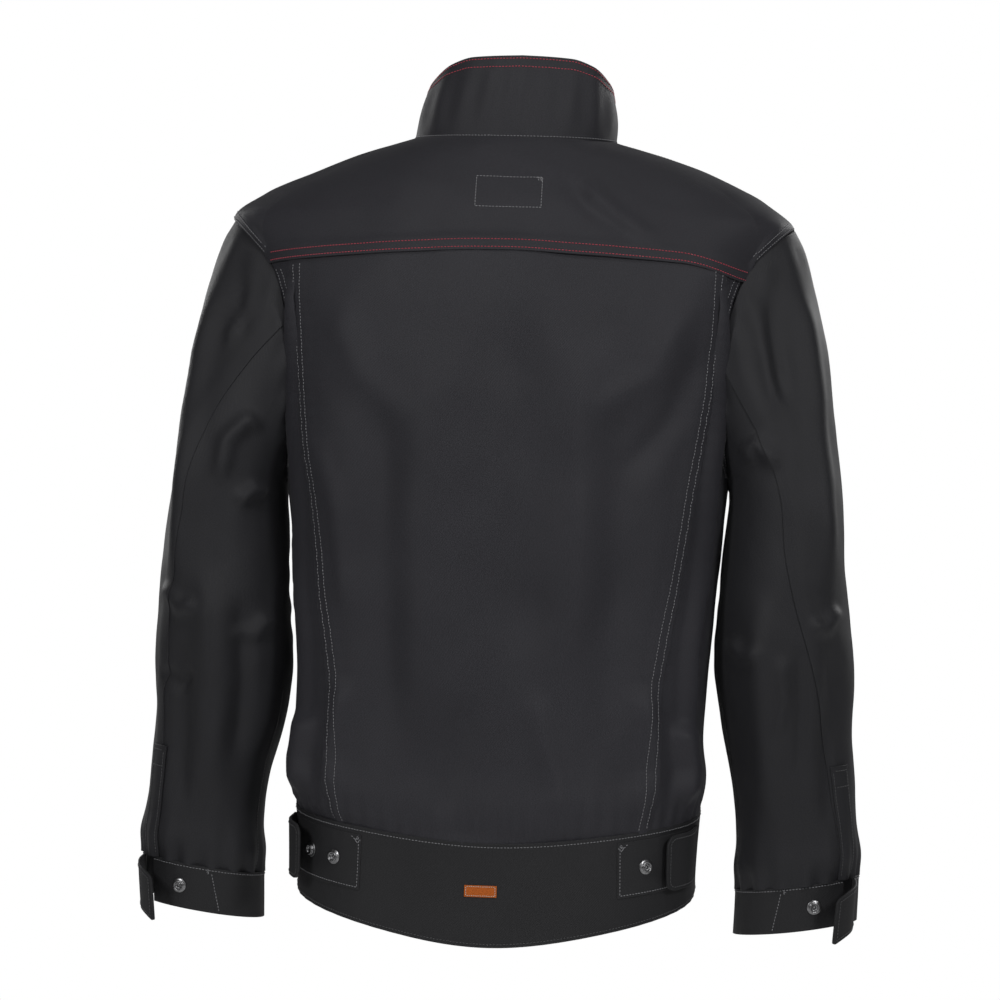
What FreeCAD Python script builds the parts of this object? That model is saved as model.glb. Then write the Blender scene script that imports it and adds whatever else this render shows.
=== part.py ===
import FreeCAD, Part
import Sketcher
import math
import os

# A waist-length welding jacket in woven cloth, worn shape, hanging from the neck opening.
# Millimetres and degrees. +Z is up, the wearer's front faces -Y and the wearer's left is +X.
# The origin is the centre of the neck opening at the height of the nape seam.
# Every cloth panel is a closed shell of even thickness cut out of one of three smooth skins:
# the torso, the collar and the sleeve. A seam is a narrow gap between neighbouring panels.

doc = FreeCAD.newDocument("welding_jacket")
Vector = FreeCAD.Vector

# ---------------------------------------------------------------- driving dimensions

SIZES = [
    ("cloth_thickness", 3.0, "shell cloth, lining and seam allowance together"),
    ("seam_gap", 0.3, "half of the gap between two panels"),
    ("back_yoke_drop", 100, "nape seam to the yoke seam at centre back"),
    ("front_yoke_drop", 122, "nape seam to the front yoke seam at the zip"),
    ("back_waist_drop", 612, "nape seam to the waist seam at centre back"),
    ("back_hem_drop", 700, "nape seam to the hem at centre back"),
    ("neck_front_drop", 75, "nape seam to the neck seam at centre front"),
    ("collar_back_height", 73, "standing collar at centre back"),
    ("collar_layer", 1.6, "each of the two collar layers"),
    ("shoulder_tip_drop", 71, "nape seam to the shoulder point"),
    ("armhole_depth", 229, "shoulder point to the bottom of the armhole"),
    ("armhole_spread", 18.5, "degrees of the armhole either side of the arm axis"),
    ("elbow_drop", 415, "nape seam to the elbow line"),
    ("elbow_pivot_back", -40, "Y of the elbow axis"),
    ("elbow_notch_angle", 28.5, "slope of each side of the notch in the crook of the elbow"),
    ("cuff_drop", 647.5, "nape seam to the middle of the cuff seam"),
    ("cuff_height", 40, "cuff band"),
    ("cuff_tilt", 8, "the cuff seam is this much higher outside and lower inside"),
    ("cuff_proud", 0.8, "cuff and waistband stand this far out of the panels above"),
    ("cuff_flap_length", 43, "loose end of the cuff"),
    ("cuff_flap_open_left", 36, "rest angle of the left cuff end past its snap"),
    ("cuff_flap_open_right", 34, "rest angle of the right cuff end past its snap"),
    ("placket_length", 100, "strip above the cuff opening"),
    ("waist_tab_length", 52, "loose tab of the waistband"),
    ("waist_tab_height", 48, "loose tab of the waistband"),
    ("waist_tab_open_left", 14, "rest angle of the left waist tab"),
    ("snap_stand_off", 5.6, "a closed tab stands this far off, over its stud"),
    ("stud_flange_radius", 6.3, "snap stud"),
    ("stud_flange_height", 0.9, "snap stud"),
    ("stud_post_radius", 4.4, "snap stud"),
    ("stud_height", 3.2, "snap stud"),
    ("stud_hole_radius", 1.8, "snap stud"),
    ("snap_cap_radius", 7.0, "snap cap"),
    ("snap_cap_height", 1.8, "snap cap"),
    ("snap_socket_radius", 5.4, "snap socket"),
    ("snap_socket_height", 1.6, "snap socket"),
    ("zip_half_gap", 11, "centre line to the folded edge of each front"),
    ("zip_lean", 4.08, "degrees the front edge leans forward going down"),
    ("zip_length", 548, "length of the teeth"),
    ("zip_tooth_reach", 2.4, "width of one half of the teeth"),
    ("zip_tooth_height", 2.6, "teeth, front to back"),
    ("zip_split", 0.6, "half of the split between the two halves of the teeth"),
    ("zip_tape_width", 7.4, "visible tape beside the teeth"),
    ("zip_tape_thickness", 1.0, "tape"),
    ("slider_width", 9.4, "zip slider"),
    ("slider_length", 14, "zip slider"),
    ("slider_plate", 1.5, "zip slider plate thickness"),
    ("slider_clear", 0.5, "slider to teeth"),
    ("pull_length", 34, "zip pull"),
    ("pull_width", 8, "zip pull"),
    ("pull_thickness", 1.6, "zip pull"),
    ("pocket_width", 118, "chest pocket"),
    ("pocket_height", 138, "chest pocket"),
    ("pocket_centre_x", 92, "chest pocket"),
    ("pocket_top_drop", 176, "nape seam to the top of the chest pocket"),
    ("pocket_layer", 1.2, "pocket cloth"),
    ("pocket_flap_height", 52, "chest pocket flap"),
    ("label_width", 28, "hem label"),
    ("label_height", 10, "hem label"),
    ("label_thickness", 0.8, "both labels"),
    ("inner_label_width", 57, "label inside the yoke"),
    ("inner_label_height", 27, "label inside the yoke"),
    ("loop_width", 62, "hanging loop inside the neck"),
    ("loop_tape", 8, "hanging loop tape width"),
    ("loop_thickness", 1.2, "hanging loop"),
]

sheet = doc.addObject("Spreadsheet::Sheet", "sizes")
for row, (alias, value, note) in enumerate(SIZES, start=1):
    sheet.set(f"A{row}", alias)
    sheet.set(f"B{row}", str(value))
    sheet.set(f"C{row}", note)
    sheet.setAlias(f"B{row}", alias)
doc.recompute()


def size(alias):
    return float(sheet.get(alias))


CLOTH = size("cloth_thickness")
GAP = size("seam_gap")
PROUD = size("cuff_proud")

# ---------------------------------------------------------------- small helpers


def smooth_curve(stations):
    """A function through (position, value) stations that never overshoots between them."""
    places = [place for place, _ in stations]
    values = [value for _, value in stations]
    spans = [b - a for a, b in zip(places, places[1:])]
    slopes = [(b - a) / span for a, b, span in zip(values, values[1:], spans)]
    tangents = [slopes[0]]
    for before, after in zip(slopes, slopes[1:]):
        flat = before * after <= 0
        tangents.append(0.0 if flat else 2 * before * after / (before + after))
    tangents.append(slopes[-1])

    def at(place):
        if place <= places[0]:
            return values[0] + tangents[0] * (place - places[0])
        if place >= places[-1]:
            return values[-1] + tangents[-1] * (place - places[-1])
        i = max(k for k, start in enumerate(places[:-1]) if place >= start)
        t = (place - places[i]) / spans[i]
        lift = spans[i] * t * (1 - t)
        ease = t * t * (3 - 2 * t)
        return (
            values[i] * (1 - ease)
            + values[i + 1] * ease
            + lift * (tangents[i] * (1 - t) - tangents[i + 1] * t)
        )

    return at


def mix(a, b, share):
    return a + (b - a) * share


def ease_between(start, end, place):
    t = min(1.0, max(0.0, (place - start) / (end - start)))
    return t * t * (3 - 2 * t)


def sin(degrees):
    return math.sin(math.radians(degrees))


def cos(degrees):
    return math.cos(math.radians(degrees))


def outward(skin, a, b):
    """The outward normal of a skin, by small steps along its two directions."""
    step = 0.4
    along_a = skin(a + step, b) - skin(a - step, b)
    along_b = skin(a, b + step * skin.b_unit) - skin(a, b - step * skin.b_unit)
    normal = along_b.cross(along_a)
    normal.normalize()
    return normal


def mirrored(point, side):
    return Vector(point.x * side, point.y, point.z)


def edge_strip(top_curve, under_curve):
    """The narrow face that joins the rims of a panel's two faces."""
    top = Part.Wire([top_curve.toShape()])
    under = Part.Wire([under_curve.toShape()])
    return Part.makeLoft([top, under], False, True).Faces[0]


def solid_between(outer, inner):
    """A closed solid between two grids of points of the same size."""
    outer_face = Part.BSplineSurface()
    outer_face.interpolate(outer)
    inner_face = Part.BSplineSurface()
    inner_face.interpolate(inner)
    faces = [outer_face.toShape(), inner_face.toShape()]
    u0, u1, v0, v1 = outer_face.bounds()
    for place in (u0, u1):
        faces.append(edge_strip(outer_face.uIso(place), inner_face.uIso(place)))
    for place in (v0, v1):
        faces.append(edge_strip(outer_face.vIso(place), inner_face.vIso(place)))
    shell = Part.makeShell(faces)
    shell.sewShape()
    solid = Part.makeSolid(shell)
    if solid.Volume < 0:
        solid.reverse()
    return solid


def skin_panel(skin, place, columns, rows, top, under, side=1, depth_way=None):
    """A panel of a skin. place(u, v) gives the skin's own two coordinates.

    top and under are heights above the skin, numbers or functions of (u, v).
    """
    way = depth_way or (lambda a, b: outward(skin, a, b))
    outer = []
    inner = []
    for column in range(columns):
        outer_line = []
        inner_line = []
        for row in range(rows):
            u = column / (columns - 1)
            v = row / (rows - 1)
            a, b = place(u, v)
            base = skin(a, b)
            normal = way(a, b)
            high = top(u, v) if callable(top) else top
            low = under(u, v) if callable(under) else under
            outer_line.append(mirrored(base + normal * high, side))
            inner_line.append(mirrored(base + normal * low, side))
        outer.append(outer_line)
        inner.append(inner_line)
    return solid_between(outer, inner)


def add_part(name, shape, placement=None):
    feature = doc.addObject("Part::Feature", name)
    feature.Label = name
    feature.Shape = shape
    if placement:
        feature.Placement = placement.multiply(shape.Placement)
    return feature


# ---------------------------------------------------------------- the torso skin
# Each level is a super-ellipse. Angles run from 0 at centre back through 90 at the
# wearer's left to 180 at centre front. The second coordinate is the height Z.

half_width = smooth_curve([
    (-720, 174), (-600, 178), (-476, 183), (-380, 189), (-300, 196), (-230, 201),
    (-150, 214), (-110, 228), (-71, 249), (-49, 222), (-31, 186), (-13, 142),
    (-4, 112), (2, 92), (6, 82),
])
back_depth = smooth_curve([
    (-720, 122), (-600, 116), (-476, 122), (-380, 128), (-300, 132), (-230, 134),
    (-150, 128), (-110, 119), (-71, 104), (-49, 95), (-31, 86), (-13, 76), (-4, 70), (2, 64),
    (6, 61),
])
front_depth_above = smooth_curve([
    (-75, 88), (-49, 80), (-31, 76), (-13, 70), (2, 64), (6, 61),
])
squareness = smooth_curve([(-720, 2.4), (-150, 2.3), (-49, 2.0), (6, 2.0)])
FRONT_TOP_DEPTH = 88
NECK_FRONT = -size("neck_front_drop")


def front_depth(z):
    if z >= NECK_FRONT:
        return front_depth_above(z)
    return FRONT_TOP_DEPTH + (NECK_FRONT - z) * math.tan(math.radians(size("zip_lean")))


def torso(angle, z):
    power = squareness(z)
    depth = back_depth(z) if cos(angle) >= 0 else front_depth(z)
    across = abs(sin(angle)) / half_width(z)
    along = abs(cos(angle)) / depth
    radius = (across ** power + along ** power) ** (-1 / power)
    return Vector(radius * sin(angle), radius * cos(angle), z)


torso.b_unit = 1


def torso_angle(x, z, front=False):
    """The angle at which the torso skin is x from the centre plane."""
    power = squareness(z)
    share = min(0.999999, abs(x) / half_width(z))
    depth = front_depth(z) if front else back_depth(z)
    y = depth * (1 - share ** power) ** (1 / power)
    angle = math.degrees(math.atan2(abs(x), y))
    return 180 - angle if front else angle


def degrees_for(length, angle, z):
    radius = torso(angle, z)
    return math.degrees(length / math.hypot(radius.x, radius.y))


# ---------------------------------------------------------------- seam lines on the torso

ARM_TOP = -size("shoulder_tip_drop")
ARM_BOTTOM = ARM_TOP - size("armhole_depth")
ARM_MIDDLE = (ARM_TOP + ARM_BOTTOM) / 2
ARM_HALF = (ARM_TOP - ARM_BOTTOM) / 2
ARM_SPREAD = size("armhole_spread")
YOKE_CURVE = 9
YOKE_CORNER = 77
FRONT_YOKE_CORNER = 103
YOKE_EDGE_ROOM = 0.9
SHOULDER_SEAM = 90
SHOULDER_SEAM_ROOM = 0.15
UNDERARM_ROOM = 1.2
UNDERARM_ROOM_DROP = 8
UNDERARM_ROOM_SPAN = 16


def armhole_reach(z):
    """How many degrees the armhole takes out on either side of 90 at height z."""
    share = (z - ARM_MIDDLE) / ARM_HALF
    if abs(share) >= 1:
        return 0.0
    return ARM_SPREAD * math.sqrt(1 - share * share)


def armhole_upper_edge(angle):
    """Height of the upper half of the armhole edge at a torso angle near 90."""
    share = min(1.0, abs(angle - 90) / ARM_SPREAD)
    return ARM_MIDDLE + ARM_HALF * math.sqrt(1 - share * share)


def neck_seam(angle):
    turn = abs(angle)
    if turn <= 90:
        return 3 * (turn / 90) ** 2
    return 3 - (3 - NECK_FRONT) * ((turn - 90) / 90) ** 2.8


def back_yoke_seam(angle):
    return -size("back_yoke_drop") - YOKE_CURVE * (angle / 70) ** 2


def front_yoke_seam(angle):
    return -size("front_yoke_drop") + 8 * (180 - abs(angle)) / 70


def waist_seam(angle):
    middle = -size("back_waist_drop") + 22.5
    return middle - 20 * cos(angle) - 2.5 * cos(2 * angle)


def hem(angle):
    middle = -size("back_hem_drop") + 35.5
    return middle - 30 * cos(angle) - 5.5 * cos(2 * angle)


princess_x = smooth_curve([
    (-620, 136), (-601, 136), (-575, 138), (-515, 141), (-475, 143), (-447, 147),
    (-380, 158), (-325, 165), (-230, 178), (-150, 186), (-100, 190),
])


def between_seams(first_angle, last_angle, lower, upper):
    """A mapping from (u, v) to torso coordinates between two edges and two cross seams."""

    def place(u, v):
        z = mix(lower(45), upper(45), v)
        angle = 45
        for _ in range(12):
            start = first_angle(z)
            end = last_angle(z)
            angle = mix(start, end, u)
            z = mix(lower(angle) + GAP, upper(angle) - GAP, v)
        return angle, z

    return place


def inset(edge, way):
    """An edge moved sideways by the seam gap: way is +1 or -1 in angle."""
    return lambda z: edge(z) + way * degrees_for(GAP, edge(z), z)


def side_seam_room(z):
    """Half of the gap at the side seam, wider where the seam opens into the armhole."""
    below = (z - ARM_BOTTOM + UNDERARM_ROOM_DROP) / UNDERARM_ROOM_SPAN
    return GAP + UNDERARM_ROOM * math.exp(-below * below)


# ---------------------------------------------------------------- torso panels


def back_yoke():
    def lower(angle):
        turn = abs(angle)
        if turn <= YOKE_CORNER:
            return back_yoke_seam(turn)
        return armhole_upper_edge(turn)

    shoulder = SHOULDER_SEAM - SHOULDER_SEAM_ROOM

    def place(u, v):
        angle = mix(-shoulder, shoulder, u)
        return angle, mix(lower(angle) + YOKE_EDGE_ROOM, neck_seam(angle) - GAP, v)

    return skin_panel(torso, place, 61, 13, 0, -CLOTH)


def front_yoke(side):
    zip_edge = torso_angle(size("zip_half_gap"), neck_seam(174), front=True)

    def lower(angle):
        if angle >= FRONT_YOKE_CORNER:
            return front_yoke_seam(angle)
        return armhole_upper_edge(angle)

    def place(u, v):
        angle = mix(SHOULDER_SEAM + SHOULDER_SEAM_ROOM, zip_edge, u)
        return angle, mix(lower(angle) + YOKE_EDGE_ROOM, neck_seam(angle) - GAP, v)

    return skin_panel(torso, place, 36, 13, 0, -CLOTH, side)


def centre_back_panel():
    def left(z):
        return torso_angle(princess_x(z), z)

    def right(z):
        return -torso_angle(princess_x(z), z)

    place = between_seams(inset(right, 1), inset(left, -1), waist_seam, back_yoke_seam)
    return skin_panel(torso, place, 25, 22, 0, -CLOTH)


def side_back_panel(side):
    def inner(z):
        return torso_angle(princess_x(z), z)

    def outer(z):
        return 90 - armhole_reach(z) - degrees_for(side_seam_room(z), 90, z)

    place = between_seams(inset(inner, 1), outer, waist_seam, back_yoke_seam)
    return skin_panel(torso, place, 9, 46, 0, -CLOTH, side)


def front_panel(side):
    def outer(z):
        return 90 + armhole_reach(z) + degrees_for(side_seam_room(z), 90, z)

    def zip_edge(z):
        return torso_angle(size("zip_half_gap"), z, front=True)

    place = between_seams(outer, zip_edge, waist_seam, front_yoke_seam)
    return skin_panel(torso, place, 21, 46, 0, -CLOTH, side)


WAISTBAND_MIDDLE = -610
WAISTBAND_SIDE_ROOM = 0.1


def waistband_back():
    side_seam = SHOULDER_SEAM - WAISTBAND_SIDE_ROOM

    def place(u, v):
        angle = mix(-side_seam, side_seam, u)
        return angle, mix(hem(angle), waist_seam(angle) - GAP, v)

    return skin_panel(torso, place, 31, 6, PROUD, -CLOTH)


def waistband_front(side):
    side_seam = SHOULDER_SEAM + WAISTBAND_SIDE_ROOM
    zip_edge = torso_angle(size("zip_half_gap"), WAISTBAND_MIDDLE, front=True)

    def place(u, v):
        angle = mix(side_seam, zip_edge, u)
        return angle, mix(hem(angle), waist_seam(angle) - GAP, v)

    return skin_panel(torso, place, 19, 6, PROUD, -CLOTH, side)


# ---------------------------------------------------------------- the collar skin
# First coordinate as on the torso; the second runs 0 to 100 from neck seam to top edge.

COLLAR_END = 173
collar_top_height = smooth_curve([
    (0, size("collar_back_height")), (40, 71.5), (57, 66), (73, 55), (90, 46), (120, 36),
    (150, 12), (165, -5), (175, -18),
])
COLLAR_TOP_HALF_WIDTH = 79
COLLAR_TOP_BACK = 58
COLLAR_TOP_FRONT = 76
COLLAR_SQUARENESS = 2.2
COLLAR_BULGE = 2.0


def collar(angle, percent):
    share = percent / 100
    base = torso(angle, neck_seam(angle))
    across = abs(sin(angle)) / COLLAR_TOP_HALF_WIDTH
    along = abs(cos(angle)) / (COLLAR_TOP_BACK if cos(angle) >= 0 else COLLAR_TOP_FRONT)
    radius = (across ** COLLAR_SQUARENESS + along ** COLLAR_SQUARENESS) ** (-1 / COLLAR_SQUARENESS)
    top = Vector(radius * sin(angle), radius * cos(angle), collar_top_height(abs(angle)))
    swell = COLLAR_BULGE * math.sin(math.pi * share)
    out = Vector(sin(angle), cos(angle), 0)
    return base + (top - base) * share + out * swell


collar.b_unit = 1


def collar_layer(top, under):
    def place(u, v):
        return mix(-COLLAR_END, COLLAR_END, u), mix(1.0, 100.0, v)

    return skin_panel(collar, place, 49, 7, top, under)


# ---------------------------------------------------------------- the sleeve skin
# Left sleeve; the right one is its mirror image. First coordinate: 0 on the outside,
# 90 at the back, 180 inside, 270 at the front. Second: 0 to 100 from the armhole to
# CAP_END, and beyond that 1 for every millimetre down.

CAP_END = -330
sleeve_inside = smooth_curve([
    (-700, 212), (-650, 213), (-620, 212), (-565, 207), (-500, 193), (-455, 187),
    (-400, 190.5), (-330, 196),
])
sleeve_outside = smooth_curve([
    (-700, 318), (-650, 319.5), (-620, 319), (-565, 315), (-500, 310), (-455, 310),
    (-400, 306), (-330, 300),
])
sleeve_back = smooth_curve([
    (-700, 23), (-650, 28), (-620, 33), (-565, 45), (-500, 60), (-455, 70), (-400, 76),
    (-330, 80),
])
sleeve_front = smooth_curve([
    (-700, -62), (-650, -64), (-620, -66), (-565, -72), (-500, -80), (-455, -82),
    (-400, -84), (-330, -85),
])
CAP_START_OUT = 0.36
CAP_HANDLE_START = 0.24
CAP_HANDLE_END = 0.40


def sleeve_ring(turn, z):
    inside = sleeve_inside(z)
    outside = sleeve_outside(z)
    back = sleeve_back(z)
    front = sleeve_front(z)
    x = (outside + inside) / 2 + (outside - inside) / 2 * cos(turn)
    y = (back + front) / 2 + (back - front) / 2 * sin(turn)
    return Vector(x, y, z)


def armhole_point(turn):
    """The armhole edge in torso coordinates."""
    return 90 - ARM_SPREAD * sin(turn), ARM_MIDDLE + ARM_HALF * cos(turn)


def sleeve(turn, down):
    if down >= 100:
        return sleeve_ring(turn, CAP_END - (down - 100))
    share = down / 100
    angle, z = armhole_point(turn)
    start = torso(angle, z)
    end = sleeve_ring(turn, CAP_END)
    reach = start.distanceToPoint(end)
    away = outward(torso, angle, z) * CAP_START_OUT + Vector(0, 0, -1) * (1 - CAP_START_OUT)
    away.normalize()
    up = sleeve_ring(turn, CAP_END) - sleeve_ring(turn, CAP_END - 30)
    up.normalize()
    first = start + away * (reach * CAP_HANDLE_START)
    second = end + up * (reach * CAP_HANDLE_END)
    rest = 1 - share
    return (
        start * rest ** 3
        + first * (3 * rest * rest * share)
        + second * (3 * rest * share * share)
        + end * share ** 3
    )


sleeve.b_unit = 1


def sleeve_normal(turn, down):
    """Outward normal; close to the shoulder it follows the torso so that edges stay clear."""
    step = 0.4
    along_a = sleeve(turn + step, down) - sleeve(turn - step, down)
    low = max(0.0, down - step)
    along_b = sleeve(turn, down + step) - sleeve(turn, low)
    own = along_b.cross(along_a)
    own.normalize()
    from_top = abs((turn + 180) % 360 - 180)
    share = (1 - ease_between(40, 110, from_top)) * (1 - ease_between(0, 30, down))
    if share <= 0:
        return own
    angle, z = armhole_point(turn)
    both = outward(torso, angle, z) * share + own * (1 - share)
    both.normalize()
    return both


# The back seam of each sleeve wanders: (down, turn) stations from the armhole to the cuff.
back_seam_left = smooth_curve([
    (0, 78), (40, 68), (70, 61), (104, 57), (152, 50), (200, 43), (237, 42), (265, 37),
    (300, 40), (340, 44), (420, 44),
])
back_seam_right = smooth_curve([
    (0, 92), (60, 93), (115, 90), (155, 83), (202, 71), (240, 61), (280, 54), (320, 50),
    (420, 47),
])
INNER_SEAM = 160


def back_seam(side):
    return back_seam_left if side > 0 else back_seam_right


ELBOW_SOFTNESS = 8


def elbow_edge(y, way):
    """Height of the sleeve edge at the elbow. way +1 is the upper sleeve, -1 the lower."""
    ahead = size("elbow_pivot_back") - y
    softened = (ahead + math.hypot(ahead, ELBOW_SOFTNESS)) / 2
    rise = softened * math.tan(math.radians(size("elbow_notch_angle")))
    return -size("elbow_drop") + way * (rise + GAP)


def down_to(turn, height):
    """The down coordinate at which the sleeve reaches a height that may depend on Y."""
    down = CAP_END + 100 + size("elbow_drop")
    for _ in range(12):
        down = 100 + CAP_END - height(sleeve(turn, down))
    return down


def cuff_seam(turn):
    return -size("cuff_drop") + size("cuff_tilt") * cos(turn)


def sleeve_piece(side, first_turn, last_turn, columns, upper):
    seam_room = 0.35

    def place(u, v):
        turn = mix(first_turn(200), last_turn(200), u)
        down = 200.0
        for _ in range(8):
            turn = mix(first_turn(down) + seam_room, last_turn(down) - seam_room, u)
            if upper:
                start = 1.0
                end = down_to(turn, lambda point: elbow_edge(point.y, 1))
            else:
                start = down_to(turn, lambda point: elbow_edge(point.y, -1))
                end = 100 + CAP_END - (cuff_seam(turn) + GAP)
            down = mix(start, end, v)
        return turn, down

    rows = 17 if upper else 13
    return skin_panel(sleeve, place, columns, rows, 0, -CLOTH, side, sleeve_normal)


def outer_sleeve(side, upper):
    return sleeve_piece(side, lambda down: INNER_SEAM - 360, back_seam(side), 41, upper)


def under_sleeve(side, upper):
    return sleeve_piece(side, back_seam(side), lambda down: INNER_SEAM, 15, upper)


# ---------------------------------------------------------------- cuffs

CUFF_HINGE_TURN = 28
CUFF_UNDER_TURN = 42
CUFF_STUD_TURN = 74
CUFF_SNAP_TURN = 66
CUFF_RADIUS = 47
FLAP_ROOT_LIFT = 0.6
FLAP_RISE_END = 0.62
CUFF_FLAP_THICKNESS = 2.2
CUFF_FLAP_EDGE = 0.5
PLACKET_DEGREES = 20


def cuff_height_at(turn, v):
    top = cuff_seam(turn) - GAP
    return mix(top - size("cuff_height"), top, v)


def cuff(side):
    def place(u, v):
        turn = mix(CUFF_UNDER_TURN, 360 + CUFF_HINGE_TURN - 0.5, u)
        return turn, 100 + CAP_END - cuff_height_at(turn, 1 - v)

    return skin_panel(sleeve, place, 37, 5, PROUD, -CLOTH, side, sleeve_normal)


def cuff_middle(turn):
    return cuff_height_at(turn, 0.5)


def cuff_flap_closed(side):
    """The cuff end wrapped round towards its stud, rising to clear it."""
    sweep = math.degrees(size("cuff_flap_length") / CUFF_RADIUS)

    def place(u, v):
        turn = mix(CUFF_HINGE_TURN, CUFF_HINGE_TURN + sweep, u)
        low = cuff_height_at(turn, 0) + CUFF_FLAP_EDGE
        high = cuff_height_at(turn, 1) - CUFF_FLAP_EDGE
        return turn, 100 + CAP_END - mix(low, high, 1 - v)

    def under(u, v):
        rise = size("snap_stand_off") - FLAP_ROOT_LIFT
        return PROUD + FLAP_ROOT_LIFT + rise * ease_between(0, FLAP_RISE_END, u)

    def top(u, v):
        return under(u, v) + CUFF_FLAP_THICKNESS

    return skin_panel(sleeve, place, 9, 4, top, under, side, sleeve_normal)


def cuff_hinge(side):
    """A point on the axis of the cuff end: its own inner root corner."""
    down = 100 + CAP_END - cuff_middle(CUFF_HINGE_TURN)
    lift = PROUD + FLAP_ROOT_LIFT
    root = sleeve(CUFF_HINGE_TURN, down) + sleeve_normal(CUFF_HINGE_TURN, down) * lift
    return mirrored(root, side)


def turned_about(point, direction, degrees):
    return FreeCAD.Placement(Vector(0, 0, 0), FreeCAD.Rotation(direction, degrees), point)


def placket(side):
    def place(u, v):
        turn = CUFF_HINGE_TURN + 1 + PLACKET_DEGREES * u
        bottom = cuff_seam(turn) + GAP
        return turn, 100 + CAP_END - mix(bottom + size("placket_length"), bottom, v)

    return skin_panel(sleeve, place, 5, 7, 1.5, 0.3, side, sleeve_normal)


# ---------------------------------------------------------------- snaps, as turned bodies


def plane_of(body, role):
    for feature in body.Origin.OriginFeatures:
        if feature.Role == role:
            return feature
    raise ValueError(role)


def turned_body(name, outline, bindings):
    """A PartDesign body turned about its Z axis from an outline of (radius, height)."""
    body = doc.addObject("PartDesign::Body", name)
    body.Label = name
    sketch = body.newObject("Sketcher::SketchObject", name + "_outline")
    sketch.AttachmentSupport = [(plane_of(body, "XZ_Plane"), "")]
    sketch.MapMode = "FlatFace"
    doc.recompute()
    count = len(outline)
    for i in range(count):
        start = Vector(*outline[i], 0)
        end = Vector(*outline[(i + 1) % count], 0)
        sketch.addGeometry(Part.LineSegment(start, end), False)
    for i in range(count):
        sketch.addConstraint(Sketcher.Constraint("Coincident", i, 2, (i + 1) % count, 1))
    for i, (radius, height) in enumerate(outline):
        for kind, alias in (("DistanceX", bindings[i][0]), ("DistanceY", bindings[i][1])):
            place = radius if kind == "DistanceX" else height
            row = sketch.addConstraint(Sketcher.Constraint(kind, -1, 1, i, 1, place))
            if alias:
                sketch.setExpression(f"Constraints[{row}]", alias)
    turned = body.newObject("PartDesign::Revolution", name + "_turned")
    turned.Profile = sketch
    turned.ReferenceAxis = (sketch, ["V_Axis"])
    turned.Angle = 360
    body.Tip = turned
    doc.recompute()
    return body


def stud_outline():
    flange = size("stud_flange_radius")
    low = size("stud_flange_height")
    post = size("stud_post_radius")
    top = size("stud_height")
    hole = size("stud_hole_radius")
    waist = post - 0.8
    outline = [
        (hole, 0), (flange, 0), (flange, low), (waist, low), (post, mix(low, top, 0.5)),
        (post - 0.5, top), (hole, top),
    ]
    bindings = [
        ("sizes.stud_hole_radius", None),
        ("sizes.stud_flange_radius", None),
        ("sizes.stud_flange_radius", "sizes.stud_flange_height"),
        ("sizes.stud_post_radius - 0.8", "sizes.stud_flange_height"),
        ("sizes.stud_post_radius", "(sizes.stud_flange_height + sizes.stud_height) / 2"),
        ("sizes.stud_post_radius - 0.5", "sizes.stud_height"),
        ("sizes.stud_hole_radius", "sizes.stud_height"),
    ]
    return outline, bindings


def cap_outline():
    wide = size("snap_cap_radius")
    tall = size("snap_cap_height")
    outline = [(0, 0), (wide, 0), (wide, tall / 3), (wide * 0.6, tall), (0, tall)]
    bindings = [
        (None, None),
        ("sizes.snap_cap_radius", None),
        ("sizes.snap_cap_radius", "sizes.snap_cap_height / 3"),
        ("sizes.snap_cap_radius * 0.6", "sizes.snap_cap_height"),
        (None, "sizes.snap_cap_height"),
    ]
    return outline, bindings


def socket_outline():
    wide = size("snap_socket_radius")
    tall = size("snap_socket_height")
    hole = wide * 0.55
    outline = [(hole, 0), (wide, 0), (wide, -tall * 0.6), (wide - 1.2, -tall), (hole, -tall)]
    bindings = [
        ("sizes.snap_socket_radius * 0.55", None),
        ("sizes.snap_socket_radius", None),
        ("sizes.snap_socket_radius", "-sizes.snap_socket_height * 0.6"),
        ("sizes.snap_socket_radius - 1.2", "-sizes.snap_socket_height"),
        ("sizes.snap_socket_radius * 0.55", "-sizes.snap_socket_height"),
    ]
    return outline, bindings


def facing(point, normal):
    return FreeCAD.Placement(point, FreeCAD.Rotation(Vector(0, 0, 1), normal))


def placed(shape, placement):
    copy = shape.copy()
    copy.Placement = placement.multiply(copy.Placement)
    return copy


def skin_spot(skin, a, b, height, side, way=outward):
    normal = way(skin, a, b) if way is outward else way(a, b)
    return mirrored(skin(a, b) + normal * height, side), mirrored(normal, side)


# ---------------------------------------------------------------- waistband tabs

TAB_HINGE_ANGLE = 80
TAB_TOP_MARGIN = 6
TAB_SNAP_ARC = 40
TAB_SPARE_STUD_ARC = 70
TAB_PATCH_INNER = 50.0
TAB_PATCH_OUTER = 78.0
TAB_THICKNESS = 2.4
TAB_STAND_OFF = size("snap_stand_off") + 0.9


def tab_sweep(length):
    """Torso angle reached by an arc length from the tab hinge towards the back."""
    z = WAISTBAND_MIDDLE
    angle = TAB_HINGE_ANGLE
    travelled = 0.0
    step = 0.25
    here = torso(angle, z)
    while travelled < length:
        there = torso(angle - step, z)
        travelled += here.distanceToPoint(there)
        here = there
        angle -= step
    return angle


def tab_height(angle, v):
    top = waist_seam(angle) - TAB_TOP_MARGIN
    return mix(top - size("waist_tab_height"), top, v)


def waist_tab_closed(side):
    tip = tab_sweep(size("waist_tab_length"))

    def place(u, v):
        angle = mix(TAB_HINGE_ANGLE, tip, u)
        return angle, tab_height(angle, v)

    def under(u, v):
        rise = TAB_STAND_OFF - FLAP_ROOT_LIFT
        return PROUD + FLAP_ROOT_LIFT + rise * ease_between(0, FLAP_RISE_END, u)

    def top(u, v):
        return under(u, v) + TAB_THICKNESS

    return skin_panel(torso, place, 9, 4, top, under, side)


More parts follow.
